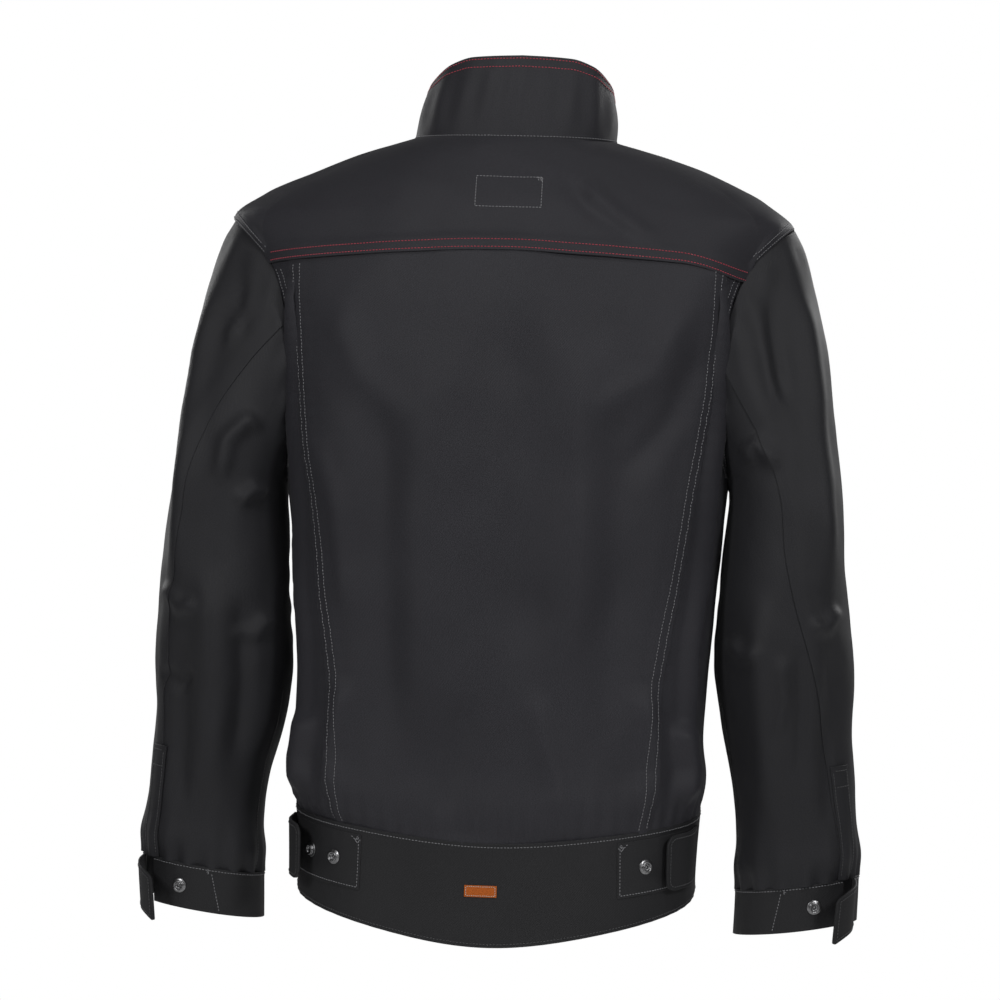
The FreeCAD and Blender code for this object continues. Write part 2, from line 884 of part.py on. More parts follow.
def tab_hinge(side):
    z = tab_height(TAB_HINGE_ANGLE, 0.5)
    lift = PROUD + FLAP_ROOT_LIFT
    root = torso(TAB_HINGE_ANGLE, z) + outward(torso, TAB_HINGE_ANGLE, z) * lift
    return mirrored(root, side)


def tab_patch(side):
    def place(u, v):
        angle = mix(TAB_PATCH_INNER, TAB_PATCH_OUTER, u)
        return angle, tab_height(angle, v)

    return skin_panel(torso, place, 9, 4, PROUD + 0.5, PROUD + 0.1, side)


# ---------------------------------------------------------------- chest pockets


def pocket_place(top_z, height):
    half = size("pocket_width") / 2
    middle = size("pocket_centre_x")

    def place(u, v):
        z = mix(top_z - height, top_z, v)
        x = mix(middle - half, middle + half, 1 - u)
        return torso_angle(x, z, front=True), z

    return place


def chest_pocket(side):
    top = -size("pocket_top_drop")
    layer = size("pocket_layer")
    place = pocket_place(top, size("pocket_height"))
    return skin_panel(torso, place, 7, 7, 0.3 + layer, 0.3, side)


POCKET_FLAP_LIFT = 3.6
POCKET_FLAP_THICKNESS = 1.8
POCKET_FLAP_TOP = -size("pocket_top_drop") + 9
POCKET_ROOT_TOP = -size("pocket_top_drop") + 18
POCKET_ROOT_HEIGHT = 8.0
POCKET_SNAP_MARGIN = 14
SEWN_ON_LIFT = 0.3


def pocket_flap(side):
    place = pocket_place(POCKET_FLAP_TOP, size("pocket_flap_height"))
    top = POCKET_FLAP_LIFT + POCKET_FLAP_THICKNESS
    return skin_panel(torso, place, 7, 5, top, POCKET_FLAP_LIFT, side)


def pocket_flap_root(side):
    """The sewn-down strip that the flap hangs from."""
    place = pocket_place(POCKET_ROOT_TOP, POCKET_ROOT_HEIGHT)
    top = POCKET_FLAP_LIFT + POCKET_FLAP_THICKNESS
    return skin_panel(torso, place, 7, 3, top, SEWN_ON_LIFT, side)


POCKET_STUD_HEIGHT = 1.2
WELT_BOTTOM = -530
WELT_TOP = -380
WELT_BOTTOM_X = 128
WELT_TOP_X = 95
WELT_WIDTH = 16
WELT_THICKNESS = 1.5


def side_pocket_welt(side):
    def place(u, v):
        z = mix(WELT_BOTTOM, WELT_TOP, v)
        x = mix(WELT_BOTTOM_X, WELT_TOP_X, v) + WELT_WIDTH * (0.5 - u)
        return torso_angle(x, z, front=True), z

    return skin_panel(torso, place, 4, 8, SEWN_ON_LIFT + WELT_THICKNESS, SEWN_ON_LIFT, side)


# ---------------------------------------------------------------- front zip
# The teeth lie in the plane of the two front edges, a straight line that leans forward.

ZIP_TOP = NECK_FRONT - 1
ZIP_DEPTH = 2.0


def zip_frame():
    """Origin at the top of the teeth; local -Z runs down the zip and local -Y points out."""
    lean = size("zip_lean")
    top = Vector(0, -front_depth(ZIP_TOP) + ZIP_DEPTH, ZIP_TOP)
    return FreeCAD.Placement(top, FreeCAD.Rotation(Vector(1, 0, 0), -lean))


def strip(name, alias_width, alias_depth, local):
    """A straight bar down the zip with its width and depth taken from the sheet."""
    box = doc.addObject("Part::Box", name)
    box.Label = name
    box.setExpression("Length", "sizes." + alias_width)
    box.setExpression("Width", "sizes." + alias_depth)
    box.setExpression("Height", "sizes.zip_length")
    box.Placement = zip_frame().multiply(FreeCAD.Placement(local, FreeCAD.Rotation()))
    return box


STAPLE_HEIGHT = 3.8
STAPLE_WIDTH = 2.2
STAPLE_LENGTH = 8.6
STAPLE_END = 11.6
STAPLE_WIRE = 1.0
STAPLE_SLOT_LENGTH = 6.2
POST_LENGTH = 4
POST_END = 5
SLOT_OVERRUN = 0.1
PULL_AXIS_DROP = 8.2
PULL_BAR = 1.4
PULL_ARM_WIDTH = 2.0
PULL_TAG_DROP = 4.5
PULL_ARM_OVERLAP = 0.2


def zip_slider_shape():
    """Front and back plates joined by a thin post that runs between the teeth."""
    wide = size("slider_width")
    long = size("slider_length")
    plate = size("slider_plate")
    inside = size("zip_tooth_height") / 2 + size("slider_clear")
    front = Part.makeBox(wide, plate, long, Vector(-wide / 2, -inside - plate, -long))
    back = Part.makeBox(wide, plate, long, Vector(-wide / 2, inside, -long))
    post_half = size("zip_split") / 2
    post = Part.makeBox(
        2 * post_half, 2 * inside, POST_LENGTH, Vector(-post_half, -inside, -POST_END)
    )
    staple_front = -inside - plate - STAPLE_HEIGHT
    staple = Part.makeBox(
        STAPLE_WIDTH, STAPLE_HEIGHT, STAPLE_LENGTH,
        Vector(-STAPLE_WIDTH / 2, staple_front, -STAPLE_END),
    )
    slot_bottom = -STAPLE_END + (STAPLE_LENGTH - STAPLE_SLOT_LENGTH) / 2
    slot = Part.makeBox(
        STAPLE_WIDTH + 2 * SLOT_OVERRUN, STAPLE_HEIGHT - STAPLE_WIRE, STAPLE_SLOT_LENGTH,
        Vector(-STAPLE_WIDTH / 2 - SLOT_OVERRUN, staple_front + STAPLE_WIRE, slot_bottom),
    )
    shape = front.fuse([back, post, staple.cut(slot)])
    return shape.removeSplitter()


def zip_pull_shape():
    """A flat tag hung from a crossbar that lies under the slider's staple."""
    wide = size("pull_width")
    thick = size("pull_thickness")
    long = size("pull_length")
    half_bar = PULL_BAR / 2
    bar = Part.makeBox(wide, PULL_BAR, PULL_BAR, Vector(-wide / 2, -half_bar, -half_bar))
    tag = Part.makeBox(wide, thick, long - PULL_TAG_DROP, Vector(-wide / 2, -thick / 2, -long))
    shape = tag.fuse(bar)
    arm_bottom = -PULL_TAG_DROP - PULL_ARM_OVERLAP
    arm_length = half_bar - PULL_ARM_OVERLAP - arm_bottom
    for start in (-wide / 2, wide / 2 - PULL_ARM_WIDTH):
        corner = Vector(start, -half_bar, arm_bottom)
        shape = shape.fuse(Part.makeBox(PULL_ARM_WIDTH, PULL_BAR, arm_length, corner))
    return shape.removeSplitter()


# ---------------------------------------------------------------- labels and hanging loop


LABEL_LIFT = 0.2


def hem_label():
    half = size("label_width") / 2
    centre_x = 5
    centre_z = -652

    def place(u, v):
        z = centre_z + size("label_height") * (v - 0.5)
        x = centre_x + mix(-half, half, u)
        return math.copysign(torso_angle(x, z), x), z

    under = PROUD + LABEL_LIFT
    return skin_panel(torso, place, 3, 3, under + size("label_thickness"), under)


def inner_label():
    half = size("inner_label_width") / 2
    centre_x = 6
    centre_z = -50

    def place(u, v):
        z = centre_z + size("inner_label_height") * (v - 0.5)
        x = centre_x + mix(-half, half, u)
        return math.copysign(torso_angle(x, z), x), z

    top = -CLOTH - GAP
    return skin_panel(torso, place, 5, 4, top, top - size("label_thickness"))


LOOP_SEAM_ROOM = 0.4


def hanging_loop():
    half = size("loop_width") / 2
    top_z = -14
    bow = 12.0
    seam = -CLOTH - LOOP_SEAM_ROOM

    def place(u, v):
        z = mix(top_z - size("loop_tape"), top_z, v)
        x = mix(-half, half, u)
        return math.copysign(torso_angle(x, z), x), z

    def top(u, v):
        return seam - bow * math.sin(math.pi * u) ** 2

    def under(u, v):
        return top(u, v) - size("loop_thickness")

    return skin_panel(torso, place, 17, 3, top, under)


# ---------------------------------------------------------------- building every part

add_part("back_yoke", back_yoke())
add_part("centre_back_panel", centre_back_panel())
add_part("waistband_back", waistband_back())
add_part("collar_outer", collar_layer(0, -size("collar_layer")))
lining_top = -size("collar_layer") - GAP
add_part("collar_facing", collar_layer(lining_top, lining_top - size("collar_layer")))
add_part("hem_label", hem_label())
add_part("inner_label", inner_label())
add_part("hanging_loop", hanging_loop())

SIDES = (("left", 1), ("right", -1))
for word, side in SIDES:
    add_part(f"front_yoke_{word}", front_yoke(side))
    add_part(f"side_back_panel_{word}", side_back_panel(side))
    add_part(f"front_panel_{word}", front_panel(side))
    add_part(f"waistband_front_{word}", waistband_front(side))
    add_part(f"tab_patch_{word}", tab_patch(side))
    add_part(f"chest_pocket_{word}", chest_pocket(side))
    add_part(f"pocket_flap_root_{word}", pocket_flap_root(side))
    add_part(f"side_pocket_welt_{word}", side_pocket_welt(side))
    add_part(f"upper_sleeve_outer_{word}", outer_sleeve(side, True))
    add_part(f"upper_sleeve_under_{word}", under_sleeve(side, True))
    add_part(f"lower_sleeve_outer_{word}", outer_sleeve(side, False))
    add_part(f"lower_sleeve_under_{word}", under_sleeve(side, False))
    add_part(f"cuff_{word}", cuff(side))
    add_part(f"sleeve_placket_{word}", placket(side))

# Snap masters, turned once and copied wherever they are pressed in.
stud_master = turned_body("snap_stud", *stud_outline())
cap_master = turned_body("snap_cap", *cap_outline())
socket_master = turned_body("snap_socket", *socket_outline())


def stud_at(point, normal):
    return placed(stud_master.Shape, facing(point, normal))


def socket_at(point, normal):
    return placed(socket_master.Shape, facing(point, normal))


CUFF_SOCKET_DROP = 0.4
TAB_SOCKET_DROP = 0.25
CAP_LIFT = 0.05
rest_of_tab = {"left": size("waist_tab_open_left"), "right": 0.0}
rest_of_cuff = {
    "left": size("cuff_flap_open_left"),
    "right": size("cuff_flap_open_right"),
}
waist_studs = []
pocket_studs = []
for word, side in SIDES:
    opening = Vector(0, 0, -side)

    # cuff: fixed stud, swinging end with the socket on its inner face
    stud_down = 100 + CAP_END - cuff_middle(CUFF_STUD_TURN)
    spot = skin_spot(sleeve, CUFF_STUD_TURN, stud_down, PROUD + 0.1, side, sleeve_normal)
    add_part(f"cuff_stud_{word}", stud_at(*spot))
    swing = turned_about(cuff_hinge(side), opening, rest_of_cuff[word])
    add_part(f"cuff_flap_{word}", cuff_flap_closed(side), swing)
    lift = PROUD + size("snap_stand_off") - CUFF_SOCKET_DROP
    spot = skin_spot(sleeve, CUFF_SNAP_TURN, stud_down, lift, side, sleeve_normal)
    add_part(f"cuff_snap_{word}", socket_at(*spot), swing)

    # waistband: two fixed studs, swinging tab with the socket on its inner face
    outer_stud = tab_sweep(TAB_SNAP_ARC)
    spare_stud = tab_sweep(TAB_SPARE_STUD_ARC)
    for angle in (outer_stud, spare_stud):
        z = tab_height(angle, 0.5)
        spot = skin_spot(torso, angle, z, PROUD + 0.6, side)
        waist_studs.append(stud_at(*spot))
    swing = turned_about(tab_hinge(side), opening, rest_of_tab[word])
    add_part(f"waist_tab_{word}", waist_tab_closed(side), swing)
    lift = PROUD + TAB_STAND_OFF - TAB_SOCKET_DROP
    spot = skin_spot(torso, outer_stud, tab_height(outer_stud, 0.5), lift, side)
    add_part(f"waist_snap_{word}", socket_at(*spot), swing)

    # chest pocket: fixed stud, flap with its cap
    z = POCKET_FLAP_TOP - size("pocket_flap_height") + POCKET_SNAP_MARGIN
    angle = torso_angle(size("pocket_centre_x"), z, front=True)
    lift = SEWN_ON_LIFT + size("pocket_layer") + CAP_LIFT
    spot = skin_spot(torso, angle, z, lift, side)
    flat_stud = Part.makeCylinder(size("stud_post_radius"), POCKET_STUD_HEIGHT)
    pocket_studs.append(placed(flat_stud, facing(*spot)))
    add_part(f"pocket_flap_{word}", pocket_flap(side))
    lift = POCKET_FLAP_LIFT + POCKET_FLAP_THICKNESS + CAP_LIFT
    above = skin_spot(torso, angle, z, lift, side)
    add_part(f"pocket_snap_{word}", placed(cap_master.Shape, facing(*above)))

add_part("waist_studs", Part.makeCompound(waist_studs))
add_part("pocket_studs", Part.makeCompound(pocket_studs))

# Zip: two rows of teeth, two tapes, end stops, slider and pull.
split = size("zip_split")
reach = size("zip_tooth_reach")
tall = size("zip_tooth_height")
length = size("zip_length")
tape_width = size("zip_tape_width")
tape_thick = size("zip_tape_thickness")
strip("zip_teeth_left", "zip_tooth_reach", "zip_tooth_height", Vector(split, -tall / 2, -length))
strip(
    "zip_teeth_right", "zip_tooth_reach", "zip_tooth_height",
    Vector(-split - reach, -tall / 2, -length),
)
tape_start = split + reach + 0.3
strip(
    "zip_tape_left", "zip_tape_width", "zip_tape_thickness",
    Vector(tape_start, -tape_thick / 2, -length),
)
strip(
    "zip_tape_right", "zip_tape_width", "zip_tape_thickness",
    Vector(-tape_start - tape_width, -tape_thick / 2, -length),
)
stop_wide = 2 * (split + reach)
stop_low = Part.makeBox(stop_wide, tall + 1, 5, Vector(-stop_wide / 2, -(tall + 1) / 2, 0))
stop_place = zip_frame().multiply(
    FreeCAD.Placement(Vector(0, 0, -length - 5.4), FreeCAD.Rotation())
)
add_part("zip_stop", stop_low, stop_place)
slider_start = 2.0
slider_place = zip_frame().multiply(
    FreeCAD.Placement(Vector(0, 0, -slider_start), FreeCAD.Rotation())
)
add_part("zip_slider", zip_slider_shape(), slider_place)
inside = tall / 2 + size("slider_clear")
pull_y = -inside - size("slider_plate") - (STAPLE_HEIGHT - 1.0) / 2
pull_place = zip_frame().multiply(
    FreeCAD.Placement(Vector(0, pull_y, -slider_start - PULL_AXIS_DROP), FreeCAD.Rotation())
)
add_part("zip_pull", zip_pull_shape(), pull_place)

# ---------------------------------------------------------------- checks and files

doc.recompute()
MASTERS = ("snap_stud", "snap_cap", "snap_socket")
os.makedirs("parts", exist_ok=True)
for thing in doc.Objects:
    if "Invalid" in thing.State or "Error" in thing.State:
        raise RuntimeError(f"{thing.Name} did not build: {thing.State}")
for thing in doc.Objects:
    is_shape = thing.TypeId in ("Part::Feature", "Part::Box")
    if not is_shape or thing.Label in MASTERS:
        continue
    if thing.Shape.isNull() or not thing.Shape.isValid():
        raise RuntimeError(f"{thing.Label} is not a valid shape")
    thing.Shape.exportStep(f"parts/{thing.Label}.step")
    print(thing.Label, round(thing.Shape.Volume), len(thing.Shape.Solids))
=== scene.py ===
"""Looks of the cloth welding jacket: woven twill panels, topstitching, snaps, zip and labels.

Lengths in the shape functions are millimetres, as in the CAD part. Torso angles run from 0 at
centre back through 90 at the wearer's left (+X) to 180 at centre front. Sleeve turns run from 0
on the outside through 90 at the back and 180 inside to 270 at the front.
"""

import math

import bpy
import numpy as np
from mathutils import Matrix, Vector


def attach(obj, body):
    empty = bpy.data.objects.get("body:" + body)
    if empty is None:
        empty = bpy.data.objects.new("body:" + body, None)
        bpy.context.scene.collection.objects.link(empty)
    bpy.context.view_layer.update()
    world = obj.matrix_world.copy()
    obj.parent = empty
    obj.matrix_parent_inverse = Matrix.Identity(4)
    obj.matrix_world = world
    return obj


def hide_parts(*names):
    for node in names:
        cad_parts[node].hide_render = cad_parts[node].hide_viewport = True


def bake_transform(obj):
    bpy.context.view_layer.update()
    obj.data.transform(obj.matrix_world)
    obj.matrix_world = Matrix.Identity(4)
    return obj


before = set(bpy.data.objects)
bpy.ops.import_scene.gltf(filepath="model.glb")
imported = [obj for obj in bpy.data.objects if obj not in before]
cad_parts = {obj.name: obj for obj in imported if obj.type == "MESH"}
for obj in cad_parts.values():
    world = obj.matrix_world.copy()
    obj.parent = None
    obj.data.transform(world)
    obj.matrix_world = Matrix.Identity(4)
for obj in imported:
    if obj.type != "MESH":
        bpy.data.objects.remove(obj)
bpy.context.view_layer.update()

MM = 0.001
SIDES = (("left", 1), ("right", -1))

# ------------------------------------------------------------------ numbers helpers


def smooth_curve(stations):
    """A vectorised function through (position, value) stations that never overshoots."""
    places = np.array([place for place, _ in stations], float)
    values = np.array([value for _, value in stations], float)
    spans = np.diff(places)
    slopes = np.diff(values) / spans
    tangents = np.empty(len(places))
    tangents[0] = slopes[0]
    tangents[-1] = slopes[-1]
    for k in range(1, len(places) - 1):
        product = slopes[k - 1] * slopes[k]
        total = slopes[k - 1] + slopes[k]
        tangents[k] = 0.0 if product <= 0 else 2 * product / total

    def at(place):
        place = np.asarray(place, float)
        i = np.clip(np.searchsorted(places, place, side="right") - 1, 0, len(spans) - 1)
        t = np.clip((place - places[i]) / spans[i], 0, 1)
        ease = t * t * (3 - 2 * t)
        lift = spans[i] * t * (1 - t)
        inside = values[i] * (1 - ease) + values[i + 1] * ease
        inside = inside + lift * (tangents[i] * (1 - t) - tangents[i + 1] * t)
        below = np.minimum(place - places[0], 0) * tangents[0]
        above = np.maximum(place - places[-1], 0) * tangents[-1]
        return inside + below + above

    return at


def mix(a, b, share):
    return a + (b - a) * share


def ease(start, end, place):
    t = np.clip((np.asarray(place, float) - start) / (end - start), 0, 1)
    return t * t * (3 - 2 * t)


def sin(degrees):
    return np.sin(np.radians(degrees))


def cos(degrees):
    return np.cos(np.radians(degrees))


def unit(vectors):
    length = np.linalg.norm(vectors, axis=-1, keepdims=True)
    return vectors / np.maximum(length, 1e-9)


def stack(x, y, z):
    return np.stack(np.broadcast_arrays(x, y, z), axis=-1).astype(float)


# ------------------------------------------------------------------ torso skin

half_width = smooth_curve([
    (-720, 174), (-600, 178), (-476, 183), (-380, 189), (-300, 196), (-230, 201),
    (-150, 214), (-110, 228), (-71, 249), (-49, 222), (-31, 186), (-13, 142),
    (-4, 112), (2, 92), (6, 82),
])
back_depth = smooth_curve([
    (-720, 122), (-600, 116), (-476, 122), (-380, 128), (-300, 132), (-230, 134),
    (-150, 128), (-110, 119), (-71, 104), (-49, 95), (-31, 86), (-13, 76), (-4, 70), (2, 64),
    (6, 61),
])
front_depth_above = smooth_curve([
    (-75, 88), (-49, 80), (-31, 76), (-13, 70), (2, 64), (6, 61),
])
squareness = smooth_curve([(-720, 2.4), (-150, 2.3), (-49, 2.0), (6, 2.0)])
FRONT_TOP_DEPTH = 88
NECK_FRONT = -75
ZIP_LEAN = 4.08


def front_depth(z):
    straight = FRONT_TOP_DEPTH + (NECK_FRONT - z) * math.tan(math.radians(ZIP_LEAN))
    return np.where(z >= NECK_FRONT, front_depth_above(z), straight)


def torso(angle, z):
    power = squareness(z)
    depth = np.where(cos(angle) >= 0, back_depth(z), front_depth(z))
    across = np.abs(sin(angle)) / half_width(z)
    along = np.abs(cos(angle)) / depth
    radius = (across ** power + along ** power) ** (-1 / power)
    return stack(radius * sin(angle), radius * cos(angle), z)


def torso_angle(x, z, front=False):
    power = squareness(z)
    share = np.minimum(0.999999, np.abs(x) / half_width(z))
    depth = front_depth(z) if front else back_depth(z)
    y = depth * (1 - share ** power) ** (1 / power)
    angle = np.degrees(np.arctan2(np.abs(x), y))
    angle = 180 - angle if front else angle
    return np.where(np.asarray(x) < 0, -angle, angle)


def torso_radius(angle, z):
    point = torso(angle, z)
    return np.hypot(point[..., 0], point[..., 1])


ARM_TOP = -71
ARM_BOTTOM = -300
ARM_MIDDLE = (ARM_TOP + ARM_BOTTOM) / 2
ARM_HALF = (ARM_TOP - ARM_BOTTOM) / 2
ARM_SPREAD = 18.5
YOKE_CORNER = 77
FRONT_YOKE_CORNER = 103


def armhole_reach(z):
    share = np.clip((np.asarray(z, float) - ARM_MIDDLE) / ARM_HALF, -1, 1)
    return ARM_SPREAD * np.sqrt(1 - share * share)


def armhole_upper_edge(angle):
    share = np.minimum(1.0, np.abs(angle - 90) / ARM_SPREAD)
    return ARM_MIDDLE + ARM_HALF * np.sqrt(1 - share * share)


def neck_seam(angle):
    turn = np.abs(angle)
    drop = 3 - (3 - NECK_FRONT) * (np.maximum(turn - 90, 0) / 90) ** 2.8
    return np.where(turn <= 90, 3 * (turn / 90) ** 2, drop)


def back_yoke_seam(angle):
    return -100 - 9 * (angle / 70) ** 2


def front_yoke_seam(angle):
    return -122 + 8 * (180 - np.abs(angle)) / 70


def waist_seam(angle):
    return -589.5 - 20 * cos(angle) - 2.5 * cos(2 * angle)


def hem(angle):
    return -664.5 - 30 * cos(angle) - 5.5 * cos(2 * angle)


princess_x = smooth_curve([
    (-620, 136), (-601, 136), (-575, 138), (-515, 141), (-475, 143), (-447, 147),
    (-380, 158), (-325, 165), (-230, 178), (-150, 186), (-100, 190),
])

# ------------------------------------------------------------------ collar and sleeve skins

collar_top_height = smooth_curve([
    (0, 73), (40, 71.5), (57, 66), (73, 55), (90, 46), (120, 36), (150, 12), (165, -5),
    (175, -18),
])
COLLAR_END = 173
COLLAR_TOP_WIDTH = 82
COLLAR_TOP_BACK = 58
COLLAR_TOP_FRONT = 76
COLLAR_SQUARENESS = 2.2
COLLAR_LEAN = 8.0  # the worn collar leans to the wearer's right at the back


def collar(angle, percent):
    share = (np.asarray(percent, float) / 100)[..., None]
    base = torso(angle, neck_seam(angle))
    across = np.abs(sin(angle)) / COLLAR_TOP_WIDTH
    depth = np.where(cos(angle) >= 0, COLLAR_TOP_BACK, COLLAR_TOP_FRONT)
    along = np.abs(cos(angle)) / depth
    radius = (across ** COLLAR_SQUARENESS + along ** COLLAR_SQUARENESS) ** (-1 / COLLAR_SQUARENESS)
    x = radius * sin(angle) - COLLAR_LEAN * ease(-1, 1, cos(angle))
    top = stack(x, radius * cos(angle), collar_top_height(np.abs(angle)))
    swell = 2.0 * np.sin(np.pi * share)
    out = stack(sin(angle), cos(angle), 0 * angle)
    return base + (top - base) * share + out * swell


CAP_END = -330
sleeve_inside = smooth_curve([
    (-700, 212), (-650, 213), (-620, 212), (-565, 207), (-500, 193), (-455, 187),
    (-400, 190.5), (-330, 196),
])
sleeve_outside = smooth_curve([
    (-700, 318), (-650, 319.5), (-620, 319), (-565, 315), (-500, 310), (-455, 310),
    (-400, 306), (-330, 300),
])
sleeve_back = smooth_curve([
    (-700, 23), (-650, 28), (-620, 33), (-565, 45), (-500, 60), (-455, 70), (-400, 76),
    (-330, 80),
])
sleeve_front = smooth_curve([
    (-700, -62), (-650, -64), (-620, -66), (-565, -72), (-500, -80), (-455, -82),
    (-400, -84), (-330, -85),
])


def sleeve_ring(turn, z):
    inside = sleeve_inside(z)
    outside = sleeve_outside(z)
    back = sleeve_back(z)
    front = sleeve_front(z)
    x = (outside + inside) / 2 + (outside - inside) / 2 * cos(turn)
    y = (back + front) / 2 + (back - front) / 2 * sin(turn)
    return stack(x, y, z)


def normal_of(skin, a, b, step=0.4):
    along_a = skin(a + step, b) - skin(a - step, b)
    along_b = skin(a, b + step) - skin(a, b - step)
    return unit(np.cross(along_b, along_a))


def sleeve(turn, down):
    """Down runs 0 to 100 over the sleeve cap and then 1 for each millimetre below it."""
    turn, down = np.broadcast_arrays(np.asarray(turn, float), np.asarray(down, float))
    share = (np.clip(down, 0, 100) / 100)[..., None]
    angle = 90 - ARM_SPREAD * sin(turn)
    z = ARM_MIDDLE + ARM_HALF * cos(turn)
    start = torso(angle, z)
    end = sleeve_ring(turn, CAP_END + 0 * turn)
    reach = np.linalg.norm(end - start, axis=-1, keepdims=True)
    away = unit(normal_of(torso, angle, z) * 0.36 + np.array([0, 0, -0.64]))
    up = unit(end - sleeve_ring(turn, CAP_END - 30 + 0 * turn))
    first = start + away * reach * 0.24
    second = end + up * reach * 0.40
    rest = 1 - share
    cap = start * rest ** 3 + first * (3 * rest ** 2 * share)
    cap = cap + second * (3 * rest * share ** 2) + end * share ** 3
    ring = sleeve_ring(turn, CAP_END - np.maximum(down - 100, 0))
    return np.where((down >= 100)[..., None], ring, cap)


def down_at(z):
    """The sleeve coordinate of a height below the cap."""
    return 100 + CAP_END - z


def sleeve_normal(turn, down):
    down = np.maximum(down, 0.5)
    own = normal_of(sleeve, turn, down)
    from_top = np.abs((turn + 180) % 360 - 180)
    share = ((1 - ease(40, 110, from_top)) * (1 - ease(0, 30, down)))[..., None]
    angle = 90 - ARM_SPREAD * sin(turn)
    z = ARM_MIDDLE + ARM_HALF * cos(turn)
    return unit(normal_of(torso, angle, z) * share + own * (1 - share))


back_seam = {
    "left": smooth_curve([
        (0, 78), (40, 68), (70, 61), (104, 57), (152, 50), (200, 43), (237, 42), (265, 37),
        (300, 40), (340, 44), (420, 44),
    ]),
    "right": smooth_curve([
        (0, 92), (60, 93), (115, 90), (155, 83), (202, 71), (240, 61), (280, 54), (320, 50),
        (420, 47),
    ]),
}
INNER_SEAM = 160


def cuff_seam(turn):
    return -647.5 + 8 * cos(turn)


# ------------------------------------------------------------------ folds of the cloth
# Each fold is a soft ridge (or furrow, where negative) along a line in back view (X, Z).

BODY_FOLDS = [
    ([(-62, -36), (-95, -70), (-140, -95)], 9, 1.6),
    ([(-40, -30), (-70, -60), (-120, -92)], 7, -1.1),
    ([(-15, -130), (-28, -300), (-20, -480)], 26, -2.6),
    ([(-62, -140), (-70, -320), (-52, -520)], 22, 1.8),
    ([(55, -150), (62, -330), (48, -560)], 24, 1.6),
    ([(105, -180), (98, -380), (90, -560)], 20, -1.8),
    ([(-112, -170), (-108, -360), (-96, -560)], 20, -1.6),
    ([(150, -140), (120, -210), (70, -260)], 16, 1.2),
    ([(-160, -135), (-130, -205), (-75, -250)], 14, 1.4),
    ([(-176, -170), (-150, -240), (-110, -300)], 11, -1.2),
    ([(168, -250), (140, -330), (128, -430)], 12, 1.1),
    ([(-30, -470), (-58, -560), (-62, -600)], 12, 1.4),
    ([(20, -480), (36, -560), (42, -600)], 11, -1.2),
    ([(125, -470), (140, -540), (134, -585)], 10, 1.8),
    ([(-128, -470), (-141, -545), (-134, -585)], 10, 1.8),
    ([(160, -500), (166, -545), (162, -580)], 9, 3.0),
    ([(-160, -500), (-168, -545), (-162, -580)], 9, 3.0),
]
SLEEVE_FOLDS = {
    "left": [
        ([(250, -89), (268, -192), (281, -341), (286, -420)], 9, 3.2),
        ([(240, -83), (236, -130), (230, -183)], 6, -2.2),
        ([(219, -114), (228, -145), (246, -190)], 5, 1.8),
        ([(207, -262), (224, -252), (240, -270), (246, -310)], 7, 2.6),
        ([(205, -318), (217, -312), (232, -326)], 6, 2.0),
        ([(252, -370), (250, -480), (255, -600)], 16, 2.8),
        ([(226, -400), (222, -480), (232, -560)], 9, -2.0),
        ([(280, -430), (278, -520), (283, -610)], 10, -1.8),
        ([(199, -420), (214, -440), (236, -436)], 7, 1.6),
        ([(297, -395), (280, -418), (262, -412)], 7, 1.5),
        ([(300, -470), (284, -486), (266, -474)], 7, -1.3),
    ],
    "right": [
        ([(-246, -83), (-261, -152), (-279, -291), (-284, -400)], 9, 3.0),
        ([(-233, -95), (-232, -150), (-243, -230)], 7, -2.2),
        ([(-214, -120), (-222, -170), (-240, -240)], 6, 1.7),
        ([(-206, -275), (-222, -262), (-243, -282)], 7, 2.4),
        ([(-246, -440), (-250, -480), (-246, -520)], 5, 1.5),
        ([(-262, -430), (-266, -490), (-264, -560)], 6, -1.4),
        ([(-228, -380), (-232, -470), (-242, -600)], 14, 2.4),
        ([(-292, -420), (-290, -520), (-293, -610)], 11, -1.8),
        ([(-199, -430), (-216, -446), (-238, -440)], 7, 1.6),
        ([(-297, -400), (-283, -420), (-266, -416)], 7, 1.5),
    ],
}


BODY_STRENGTH = 3.5
SLEEVE_STRENGTH = 3.2


def fold_heights(folds, x, z, strength):
    total = np.zeros(np.shape(x))
    for line, width, height in folds:
        points = np.array(line, float)
        spans = np.linalg.norm(np.diff(points, axis=0), axis=1)
        whole = spans.sum()
        nearest = np.full(np.shape(x), 1e9)
        along = np.zeros(np.shape(x))
        run = 0.0
        for (x0, z0), (x1, z1), span in zip(points[:-1], points[1:], spans):
            t = np.clip(((x - x0) * (x1 - x0) + (z - z0) * (z1 - z0)) / span ** 2, 0, 1)
            gap = np.hypot(x - mix(x0, x1, t), z - mix(z0, z1, t))
            closer = gap < nearest
            along = np.where(closer, run + t * span, along)
            nearest = np.minimum(gap, nearest)
            run += span
        fade = ease(0, 0.25, along / whole) * ease(0, 0.25, 1 - along / whole)
        total += strength * height * fade * np.exp(-((nearest / width) ** 2))
    return total


def ripples(seed, wavelength, count=14):
    """Smooth random unevenness: a sum of plane waves with the given typical length."""
    chance = np.random.default_rng(seed)
    ways = unit(chance.normal(size=(count, 3)) * np.array([1.0, 1.0, 0.6]))
    waves = ways * (2 * np.pi / (wavelength * chance.uniform(0.7, 1.6, (count, 1))))
    starts = chance.uniform(0, 2 * np.pi, count)

    def at(points):
        return np.sin(points @ waves.T + starts).sum(axis=-1) / math.sqrt(count)

    return at


broad = ripples(3, 150)
middling = ripples(5, 62)
fine = ripples(8, 21)


def crumple(points, amount=1.0):
    return amount * (1.9 * broad(points) + 0.8 * middling(points) + 0.12 * fine(points))


